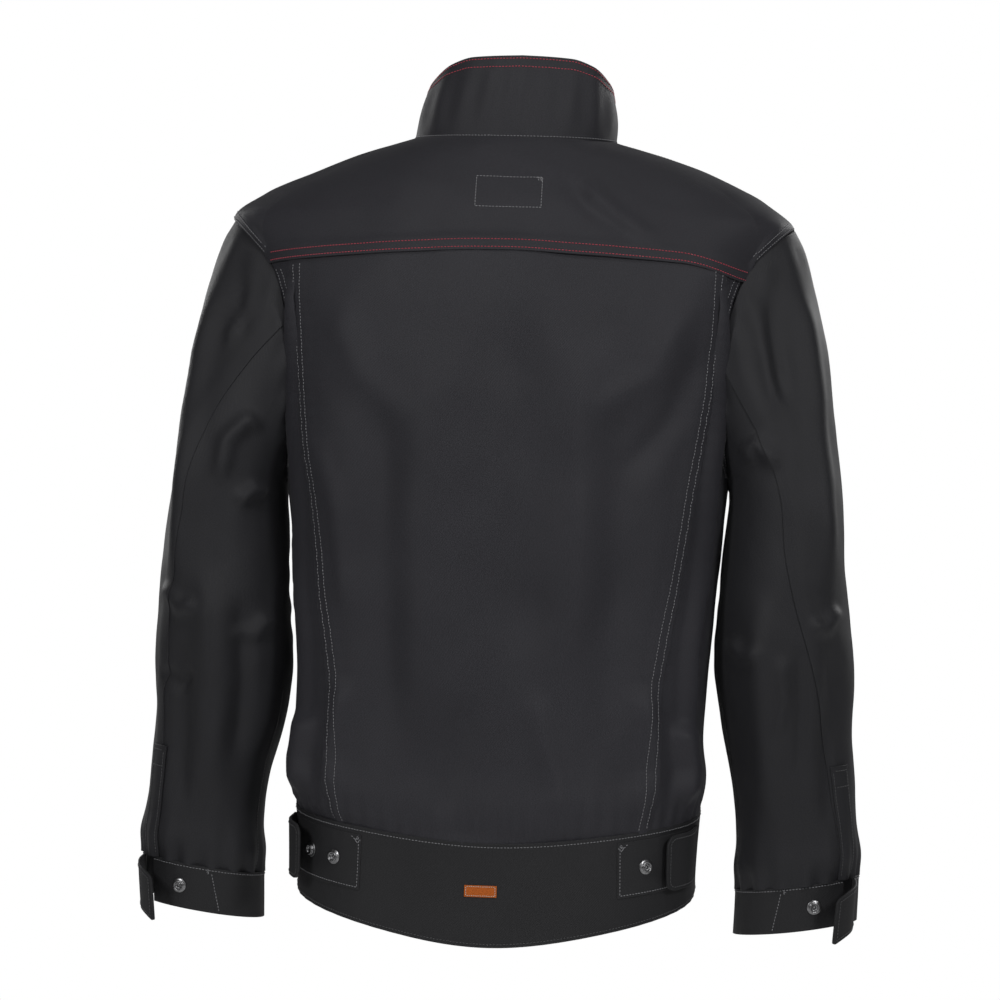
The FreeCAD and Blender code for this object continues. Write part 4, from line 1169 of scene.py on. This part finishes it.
def cuffs(word, side):
    cloth = Cloth(sleeve, sleeve_normal, cuff_height, side)
    turns = CUFF_UNDER + edge_lines(300, 3.6) * (360 + CUFF_HINGE - CUFF_UNDER)
    u, v = np.meshgrid(turns, edge_lines(40, 3.2), indexing="ij")
    piece = cloth.panel(f"cuff_cloth_{word}", u, down_at(cuff_z(u, v)), 2.6)
    finish_piece(piece, "trim", f"forearm_{word}", [f"cuff_{word}"])
    turn = np.linspace(CUFF_UNDER + 1, 360 + CUFF_HINGE - 1, 340)
    rows = [row_on(cloth, turn, down_at(cuff_z(turn, 0.95)))]
    upright = np.linspace(0.06, 0.95, 40)
    cross_turn = mix(104.0, 112.0, 1 - upright)
    rows.append(tack_on(cloth, 101.0, lambda a, v: (a, down_at(cuff_z(a, v))), 0.99, 0.05))
    rows.append(row_on(cloth, cross_turn, down_at(cuff_z(cross_turn, upright))))
    sew(f"cuff_stitches_{word}", rows, "grey_thread", f"forearm_{word}")

    # placket strip above the cuff opening
    def strip_height(turn, down, base, way):
        own = sleeve_height(word, False)(turn, down, base, way)
        return own + 2.3

    strip = Cloth(sleeve, sleeve_normal, strip_height, side)
    across = CUFF_HINGE + 1 + edge_lines(20, 2.6) * 20
    u, v = np.meshgrid(across, edge_lines(100, 3.6), indexing="ij")
    z = mix(cuff_seam(u) + 0.3, cuff_seam(u) + 100, v)
    piece = strip.panel(f"placket_cloth_{word}", u, down_at(z), 1.4)
    finish_piece(piece, "sleeve", f"forearm_{word}", [f"sleeve_placket_{word}"])
    rise = np.linspace(4, 96, 80)
    left_edge = np.full(80, CUFF_HINGE + 3.2)
    right_edge = np.full(80, CUFF_HINGE + 19.0)
    rows = [
        row_on(strip, left_edge, cuff_down(left_edge, rise)),
        row_on(strip, right_edge, cuff_down(right_edge, rise)),
    ]
    turn = np.linspace(CUFF_HINGE + 3.2, CUFF_HINGE + 19, 20)
    for level in (82, 96):
        rows.append(row_on(strip, turn, cuff_down(turn, level)))
    sew(f"placket_stitches_{word}", rows, "dark_thread", f"forearm_{word}")


def rotation_about(point, axis, degrees):
    """A function that turns points (mm) about an axis through a point."""
    turn = np.array(Matrix.Rotation(math.radians(degrees), 3, Vector(axis)))
    centre = np.array(point, float)

    def move(points):
        return (points - centre) @ turn.T + centre

    return move, turn


class Swung(Cloth):
    """A cloth turned about a hinge line to its rest position."""

    def __init__(self, cloth, move, turn, droop=None):
        self.cloth = cloth
        self.move = move
        self.turn = turn
        self.droop = droop

    def at(self, a, b, lift=0.0):
        points, ways = self.cloth.at(a, b, lift)
        moved = self.move(points)
        if self.droop is not None:
            moved = moved + self.droop(a)[..., None] * np.array([0, 0, -1.0])
        return moved, ways @ self.turn.T


CUFF_REST = {"left": 36, "right": 34}
TAB_REST = {"left": 14, "right": 0}
CUFF_PIVOT = (314.33, 3.56, -660.81)
TAB_PIVOT = (175.49, 31.04, -620.67)
CUFF_END_LENGTH = 43
CUFF_END_THICKNESS = 2.2
CUFF_RADIUS = 47
CUFF_FLAP_SWEEP = math.degrees(CUFF_END_LENGTH / CUFF_RADIUS)
CUFF_END_RISE = 5.0
CUFF_END_SAG = 9.0
TAB_LENGTH = 52
TAB_THICKNESS = 2.4
TAB_RISE = 5.9
TAB_STUD_ARCS = (40, 70)
ROOT_LIFT = 0.8 + 0.6


def tab_tip(length):
    angle = TAB_HINGE
    travelled = 0.0
    here = torso(np.array(angle), np.array(-610.0))
    while travelled < length:
        there = torso(np.array(angle - 0.25), np.array(-610.0))
        travelled += float(np.linalg.norm(there - here))
        here = there
        angle -= 0.25
    return angle


def round_corner(u, v, width, height, radius):
    """Pulls the far corners of a rectangle in to a rounded end; u=1 is the free end."""
    x = u * width
    y = (v - 0.5) * height
    over_x = np.maximum(x - (width - radius), 0)
    over_y = np.maximum(np.abs(y) - (height / 2 - radius), 0)
    reach = np.maximum(np.hypot(over_x, over_y), 1e-9)
    squeeze = np.maximum(over_x, over_y) / reach
    corner = (over_x > 0) & (over_y > 0)
    x = np.where(corner, width - radius + over_x * squeeze, x)
    y = np.where(corner, np.sign(y) * (height / 2 - radius + over_y * squeeze), y)
    return x / width, y / height + 0.5


def loose_end(name, cloth, spot, width, height, radius, node, thick):
    u, v = np.meshgrid(edge_lines(width, 2.6), edge_lines(height, 2.6), indexing="ij")
    near, level = round_corner(u, v, width, height, radius)
    piece = cloth.panel(f"{name}_cloth", *spot(near, level), thick)
    finish_piece(piece, "trim", name, [node])
    inset_u = 3.0 / width
    inset_v = 3.0 / height
    path = [(0.06, inset_v), (1 - inset_u, inset_v), (1 - inset_u, 1 - inset_v),
            (0.06, 1 - inset_v)]
    us, vs = round_corner(*path_through(path, 40), width, height, radius)
    stitches = stitch_rows(f"{name}_stitches", [row_on(cloth, *spot(us, vs))])
    finish_piece(stitches, "dark_thread", name)


def inner_socket(name, cloth, spot, thick, body, node):
    """The socket on the inner face of one loose end."""
    point, way = spot_on(cloth, float(spot[0]), float(spot[1]))
    turned(name, "snap", body, node, [(SOCKET_PROFILE, point - way * (thick + 0.1), way)])


def loose_ends(word, side):
    def cuff_rise(turn, down, base, way):
        share = (turn - CUFF_HINGE) / CUFF_FLAP_SWEEP
        risen = ROOT_LIFT + CUFF_END_RISE * ease(0, 0.62, share)
        return risen + CUFF_END_THICKNESS + crumple(base, 0.2)

    closed = Cloth(sleeve, sleeve_normal, cuff_rise, side)
    pivot = (side * CUFF_PIVOT[0], CUFF_PIVOT[1], CUFF_PIVOT[2])
    move, turn = rotation_about(pivot, (0, 0, -side), CUFF_REST[word])

    def sag(angle):
        share = (angle - CUFF_HINGE) / CUFF_FLAP_SWEEP
        return CUFF_END_SAG * np.clip(share, 0, 1) ** 2

    swung = Swung(closed, move, turn, sag)

    def cuff_spot(u, v):
        angle = CUFF_HINGE + u * CUFF_FLAP_SWEEP
        return angle, down_at(cuff_z(angle, v))

    loose_end(f"cuff_end_{word}", swung, cuff_spot, CUFF_END_LENGTH, CUFF_HEIGHT, 3,
              f"cuff_flap_{word}", CUFF_END_THICKNESS)
    inner_socket(f"cuff_cap_{word}", swung, cuff_spot(0.72, 0.5), CUFF_END_THICKNESS,
                 f"cuff_end_{word}", f"cuff_snap_{word}")

    tip = tab_tip(TAB_LENGTH)

    def tab_rise(angle, z, base, way):
        share = (TAB_HINGE - angle) / (TAB_HINGE - tip)
        risen = ROOT_LIFT + TAB_RISE * ease(0, 0.6, share)
        return risen + TAB_THICKNESS + crumple(base, 0.2)

    closed = Cloth(torso, torso_normal, tab_rise, side)
    pivot = (side * TAB_PIVOT[0], TAB_PIVOT[1], TAB_PIVOT[2])
    move, turn = rotation_about(pivot, (0, 0, -side), TAB_REST[word])
    swung = Swung(closed, move, turn)

    def tab_spot(u, v):
        angle = mix(TAB_HINGE, tip, u)
        return angle, tab_z(angle, v)

    loose_end(f"waist_end_{word}", swung, tab_spot, TAB_LENGTH, TAB_HEIGHT, 9,
              f"waist_tab_{word}", TAB_THICKNESS)
    inner_socket(f"waist_cap_{word}", swung, tab_spot(0.77, 0.5), TAB_THICKNESS,
                 f"waist_end_{word}", f"waist_snap_{word}")


# ------------------------------------------------------------------ chest and side pockets


POCKET_X = (33, 151)
POCKET_Z = (-314, -176)
FLAP_ROOT_Z = (-166, -158)
FLAP_Z = (-219, -167)
WELT_Z = (-530, -380)
WELT_X = (128, 95)
WELT_HALF = 8
WELT_ROW = 5.5


def pocket_cloth(word, side, front_cloth):
    def lifted(amount):
        def height(angle, z, base, way):
            return front_cloth.height(angle, z, base, way) + amount

        return Cloth(torso, torso_normal, height, side)

    def rectangle(cloth, name, heights, look, body, node, thick, inset=3.0):
        x0, x1 = POCKET_X
        z0, z1 = heights
        u, v = np.meshgrid(edge_lines(abs(x1 - x0), 3.4), edge_lines(abs(z1 - z0), 3.4),
                           indexing="ij")
        z = mix(z0, z1, v)
        angle = torso_angle(mix(x0, x1, u), z, front=True)
        piece = cloth.panel(name + "_cloth", angle, z, thick)
        finish_piece(piece, look, body, [node])
        corners = [(x0 + inset, z1 - inset), (x0 + inset, z0 + inset),
                   (x1 - inset, z0 + inset), (x1 - inset, z1 - inset)]
        xs, zs = path_through(corners, 40)
        row = row_on(cloth, torso_angle(xs, zs, front=True), zs)
        finish_piece(stitch_rows(name + "_stitches", [row]), "grey_thread", body)

    rectangle(lifted(1.3), f"chest_pocket_{word}", POCKET_Z, "body",
              "jacket_body", f"chest_pocket_{word}", 1.2)
    rectangle(lifted(4.2), f"pocket_root_{word}", FLAP_ROOT_Z, "trim",
              "jacket_body", f"pocket_flap_root_{word}", 3.9, 2.5)
    rectangle(lifted(4.6), f"pocket_flap_{word}", FLAP_Z, "trim",
              f"pocket_cover_{word}", f"pocket_flap_{word}", 1.8)

    cloth = lifted(1.7)
    u, v = np.meshgrid(edge_lines(16, 2.5), edge_lines(150, 3.6), indexing="ij")
    z = mix(*WELT_Z, v)
    x = mix(*WELT_X, v) + mix(-WELT_HALF, WELT_HALF, 1 - u)
    piece = cloth.panel(f"side_pocket_cloth_{word}", torso_angle(x, z, front=True), z, 1.5)
    finish_piece(piece, "trim", "jacket_body", [f"side_pocket_welt_{word}"])
    run = np.linspace(0.02, 0.98, 90)
    z = mix(*WELT_Z, run)
    rows = []
    for offset in (-WELT_ROW, WELT_ROW):
        x = mix(*WELT_X, run) + offset
        rows.append(row_on(cloth, torso_angle(x, z, front=True), z))
    sew(f"side_pocket_stitches_{word}", rows, "grey_thread", "jacket_body")


# ------------------------------------------------------------------ snaps, label and zip

STUD_PROFILE = [
    (0, 0), (6.3, 0), (6.5, 0.45), (6.2, 0.85), (4.9, 0.95), (4.4, 1.3), (4.2, 2.1), (4.7, 2.6),
    (4.7, 3.1), (4.2, 3.5), (3.6, 3.4), (3.2, 2.8), (3.1, 0.4), (1.2, 0.3), (1.0, 1.4), (0, 1.5),
]
CAP_PROFILE = [
    (0, 0), (6.9, 0), (7.1, 0.4), (6.9, 0.85), (6.3, 1.05), (5.9, 1.0), (5.5, 1.25), (3.6, 1.7),
    (1.6, 1.85), (0, 1.9),
]
SOCKET_PROFILE = [
    (0, 0), (5.2, 0), (5.5, -0.4), (5.2, -0.95), (4.4, -1.15), (3.7, -1.0), (3.2, -0.45),
    (0, -0.4),
]
FLAT_STUD_PROFILE = [(0, 0), (4.3, 0), (4.4, 0.5), (4.0, 1.1), (2.4, 1.2), (2.0, 0.7), (0, 0.6)]


def turned(name, look, body, node, work):
    """Lathe-turned metal pieces: work is a list of (profile, point, normal)."""
    sides = 36
    points = []
    faces = []
    for profile, point, normal in work:
        across = unit(np.cross(normal, np.array([0.31, 0.17, 1.0])))
        along = np.cross(normal, across)
        rings = []
        for radius, rise in profile:
            if radius == 0:
                rings.append([len(points)])
                points.append(point + normal * rise)
                continue
            rings.append(list(range(len(points), len(points) + sides)))
            for k in range(sides):
                turn = 2 * math.pi * k / sides
                out = across * math.cos(turn) + along * math.sin(turn)
                points.append(point + normal * rise + out * radius)
        for low, high in zip(rings, rings[1:]):
            for k in range(sides):
                after = (k + 1) % sides
                if len(low) == 1:
                    faces.append((low[0], high[k], high[after]))
                elif len(high) == 1:
                    faces.append((low[after], low[k], high[0]))
                else:
                    faces.append((low[after], low[k], high[k], high[after]))
    piece = new_mesh(name, np.array(points), faces)
    finish_piece(piece, look, body, [node])


def spot_on(cloth, a, b, lift=0.1):
    points, ways = cloth.at(np.array([a]), np.array([b]), lift)
    return points[0], ways[0]


def cuff_snaps(word, side):
    cloth = Cloth(sleeve, sleeve_normal, cuff_height, side)
    down = down_at(float(cuff_z(np.array(CUFF_STUD), 0.5)))
    point, way = spot_on(cloth, CUFF_STUD, down)
    turned(f"cuff_stud_ring_{word}", "snap", f"forearm_{word}", f"cuff_stud_{word}",
           [(STUD_PROFILE, point, way)])


def waist_snaps():
    work = []
    for _, side in SIDES:
        cloth = on_band(PATCH_LIFT, side)
        for arc in TAB_STUD_ARCS:
            angle = tab_tip(arc)
            point, way = spot_on(cloth, angle, float(tab_z(np.array(angle), 0.5)))
            work.append((STUD_PROFILE, point, way))
    turned("waist_stud_rings", "snap", "jacket_body", "waist_studs", work)


POCKET_SNAP = (92.0, -205.0)
POCKET_STUD_LIFT = 1.4
POCKET_CAP_LIFT = 4.7


def pocket_snaps():
    """A flat stud on each chest pocket, and a cap on the flap that covers it."""
    studs = []
    angle = float(torso_angle(*POCKET_SNAP, front=True))
    for word, side in SIDES:
        front = Cloth(torso, torso_normal, body_height(), side)
        stud = spot_on(front, angle, POCKET_SNAP[1], POCKET_STUD_LIFT)
        studs.append((FLAT_STUD_PROFILE, *stud))
        cap = spot_on(front, angle, POCKET_SNAP[1], POCKET_CAP_LIFT)
        turned(f"pocket_cap_{word}", "snap", f"pocket_cover_{word}", f"pocket_snap_{word}",
               [(CAP_PROFILE, *cap)])
    turned("pocket_stud_rings", "snap", "jacket_body", "pocket_studs", studs)


LABEL_CENTRE = (5.0, -652.0)
LABEL_SIZE = (28.0, 10.0)


def label():
    cloth = on_band(LABEL_LIFT)
    across = edge_lines(LABEL_SIZE[0], 2.0)
    upward = edge_lines(LABEL_SIZE[1], 1.6, (0.0, 0.4, 0.9))
    u, v = np.meshgrid(across, upward, indexing="ij")
    x = LABEL_CENTRE[0] + (u - 0.5) * LABEL_SIZE[0]
    z = LABEL_CENTRE[1] + (v - 0.5) * LABEL_SIZE[1]
    piece = cloth.panel("label_cloth", torso_angle(x, z), z, 0.7)
    finish_piece(piece, "orange", "jacket_body", ["hem_label"])
    rows = []
    for end in (-1, 1):
        run = np.linspace(-4.0, 4.0, 20)
        x = LABEL_CENTRE[0] + end * 12.6 + 0 * run
        z = LABEL_CENTRE[1] + run
        rows.append(row_on(cloth, torso_angle(x, z), z))
        run = np.linspace(-12.4, 12.4, 40)
        x = LABEL_CENTRE[0] + run
        z = LABEL_CENTRE[1] + end * 3.9 + 0 * run
        rows.append(row_on(cloth, torso_angle(x, z), z))
    stitches = stitch_rows("label_stitches", rows, 1.9, 0.3)
    finish_piece(stitches, "pale_thread", "jacket_body")


ZIP_TOP = np.array([0.0, -86.07, -76.0])
ZIP_LENGTH = 548.0
TOOTH_PITCH = 2.6


def box_corners(low, high):
    corners = []
    for z in (low[2], high[2]):
        for x, y in ((low[0], low[1]), (high[0], low[1]), (high[0], high[1]), (low[0], high[1])):
            corners.append((x, y, z))
    return corners


BOX_FACES = [(3, 2, 1, 0), (4, 5, 6, 7), (0, 1, 5, 4), (1, 2, 6, 5), (2, 3, 7, 6), (3, 0, 4, 7)]


def zip_teeth():
    lean = math.radians(ZIP_LEAN)
    down = np.array([0, -math.sin(lean), -math.cos(lean)])
    out = np.array([0, -math.cos(lean), math.sin(lean)])
    for word, side in SIDES:
        points = []
        faces = []
        count = int(ZIP_LENGTH / TOOTH_PITCH)
        for k in range(count):
            level = (k + 0.25 + (0.5 if side > 0 else 0.0)) * TOOTH_PITCH
            corners = box_corners((-0.7, -1.25, level), (3.0, 1.25, level + 1.15))
            start = len(points)
            for x, y, z in corners:
                points.append(ZIP_TOP + np.array([x * side, 0, 0]) + out * y + down * z)
            order = BOX_FACES if side > 0 else [face[::-1] for face in BOX_FACES]
            faces += [tuple(start + i for i in face) for face in order]
        piece = new_mesh(f"zip_row_{word}", np.array(points), faces)
        piece.data.polygons.foreach_set("use_smooth", [False] * len(piece.data.polygons))
        finish_piece(piece, "zip", "jacket_body", [f"zip_teeth_{word}"])


# ------------------------------------------------------------------ building the jacket

centre_back()
back_yoke()
waistband()
tab_patches()
collar_pieces()
for word, side in SIDES:
    side_back(word, side)
    front = front_panel(word, side)
    front_yoke(word, side)
    sleeves(word, side)
    cuffs(word, side)
    loose_ends(word, side)
    pocket_cloth(word, side, front)

for word, side in SIDES:
    cuff_snaps(word, side)
waist_snaps()
pocket_snaps()
label()
zip_teeth()

CAD_LOOKS = {
    "zip": ["zip_stop", "zip_slider", "zip_pull"],
    "tape": ["zip_tape_left", "zip_tape_right", "hanging_loop"],
    "inner_label": ["inner_label"],
}
for look, names in CAD_LOOKS.items():
    for name in names:
        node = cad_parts[name]
        node.data.materials.clear()
        node.data.materials.append(MATERIALS[look])

# ------------------------------------------------------------------ studio and camera


WORLD_LIGHT = 0.07
FLOOR_HALF = 3.4
FLOOR_LEVEL = -1.4
LIGHT_TARGET = Vector((0, 0, -0.3))


def studio():
    world = bpy.data.worlds.new("studio")
    bpy.context.scene.world = world
    world.use_nodes = True
    nodes = world.node_tree.nodes
    light = nodes["Background"]
    light.inputs["Color"].default_value = (1, 1, 1, 1)
    light.inputs["Strength"].default_value = WORLD_LIGHT
    seen = nodes.new("ShaderNodeBackground")
    seen.inputs["Color"].default_value = (1, 1, 1, 1)
    seen.inputs["Strength"].default_value = 1.0
    rays = nodes.new("ShaderNodeLightPath")
    choose = nodes.new("ShaderNodeMixShader")
    links = world.node_tree.links
    links.new(rays.outputs["Is Camera Ray"], choose.inputs[0])
    links.new(light.outputs[0], choose.inputs[1])
    links.new(seen.outputs[0], choose.inputs[2])
    links.new(choose.outputs[0], nodes["World Output"].inputs["Surface"])

    mesh = bpy.data.meshes.new("floor")
    sides = ((-1, -1), (1, -1), (1, 1), (-1, 1))
    corners = [(x * FLOOR_HALF, y * FLOOR_HALF, FLOOR_LEVEL) for x, y in sides]
    mesh.from_pydata(corners, [], [(0, 1, 2, 3)])
    floor = bpy.data.objects.new("floor", mesh)
    bpy.context.scene.collection.objects.link(floor)
    material, _, _, shader = node_material("pale_floor")
    shader.inputs["Base Color"].default_value = (0.9, 0.9, 0.9, 1)
    shader.inputs["Roughness"].default_value = 0.9
    mesh.materials.append(material)

    lamps = [
        ("key", (1.7, 3.0, 0.9), 0.7, 27.5),
        ("fill", (-2.1, 2.5, 1.0), 0.7, 26.0),
        ("top", (-0.3, 1.6, 2.3), 0.8, 11.5),
        ("front_key", (-2.0, -2.6, 1.0), 1.2, 30.0),
        ("front_fill", (2.2, -2.2, 0.4), 1.2, 18.0),
    ]
    for name, place, wide, power in lamps:
        data = bpy.data.lights.new(name, "AREA")
        data.shape = "DISK"
        data.size = wide
        data.energy = power
        lamp = bpy.data.objects.new(name, data)
        lamp.location = place
        aim = LIGHT_TARGET - Vector(place)
        lamp.rotation_euler = aim.to_track_quat("-Z", "Y").to_euler()
        bpy.context.scene.collection.objects.link(lamp)


CAMERA_LENS = 129.4
CAMERA_DISTANCE = 3.2
CAMERA_YAW = 4.5
CAMERA_ROLL = 1.5
CAMERA_TARGET = Vector((0.0062, 0, -0.316))


def camera():
    data = bpy.data.cameras.new("camera")
    data.sensor_width = 36
    data.lens = CAMERA_LENS
    piece = bpy.data.objects.new("camera", data)
    yaw = math.radians(CAMERA_YAW)
    away = Vector((-math.sin(yaw), math.cos(yaw), 0))
    piece.location = CAMERA_TARGET + away * CAMERA_DISTANCE
    aim = (CAMERA_TARGET - piece.location).to_track_quat("-Z", "Y")
    roll = Matrix.Rotation(math.radians(CAMERA_ROLL), 4, "Z")
    piece.matrix_world = Matrix.Translation(piece.location) @ aim.to_matrix().to_4x4() @ roll
    bpy.context.scene.collection.objects.link(piece)
    bpy.context.scene.camera = piece


studio()
camera()
bpy.context.scene.view_settings.view_transform = "Standard"
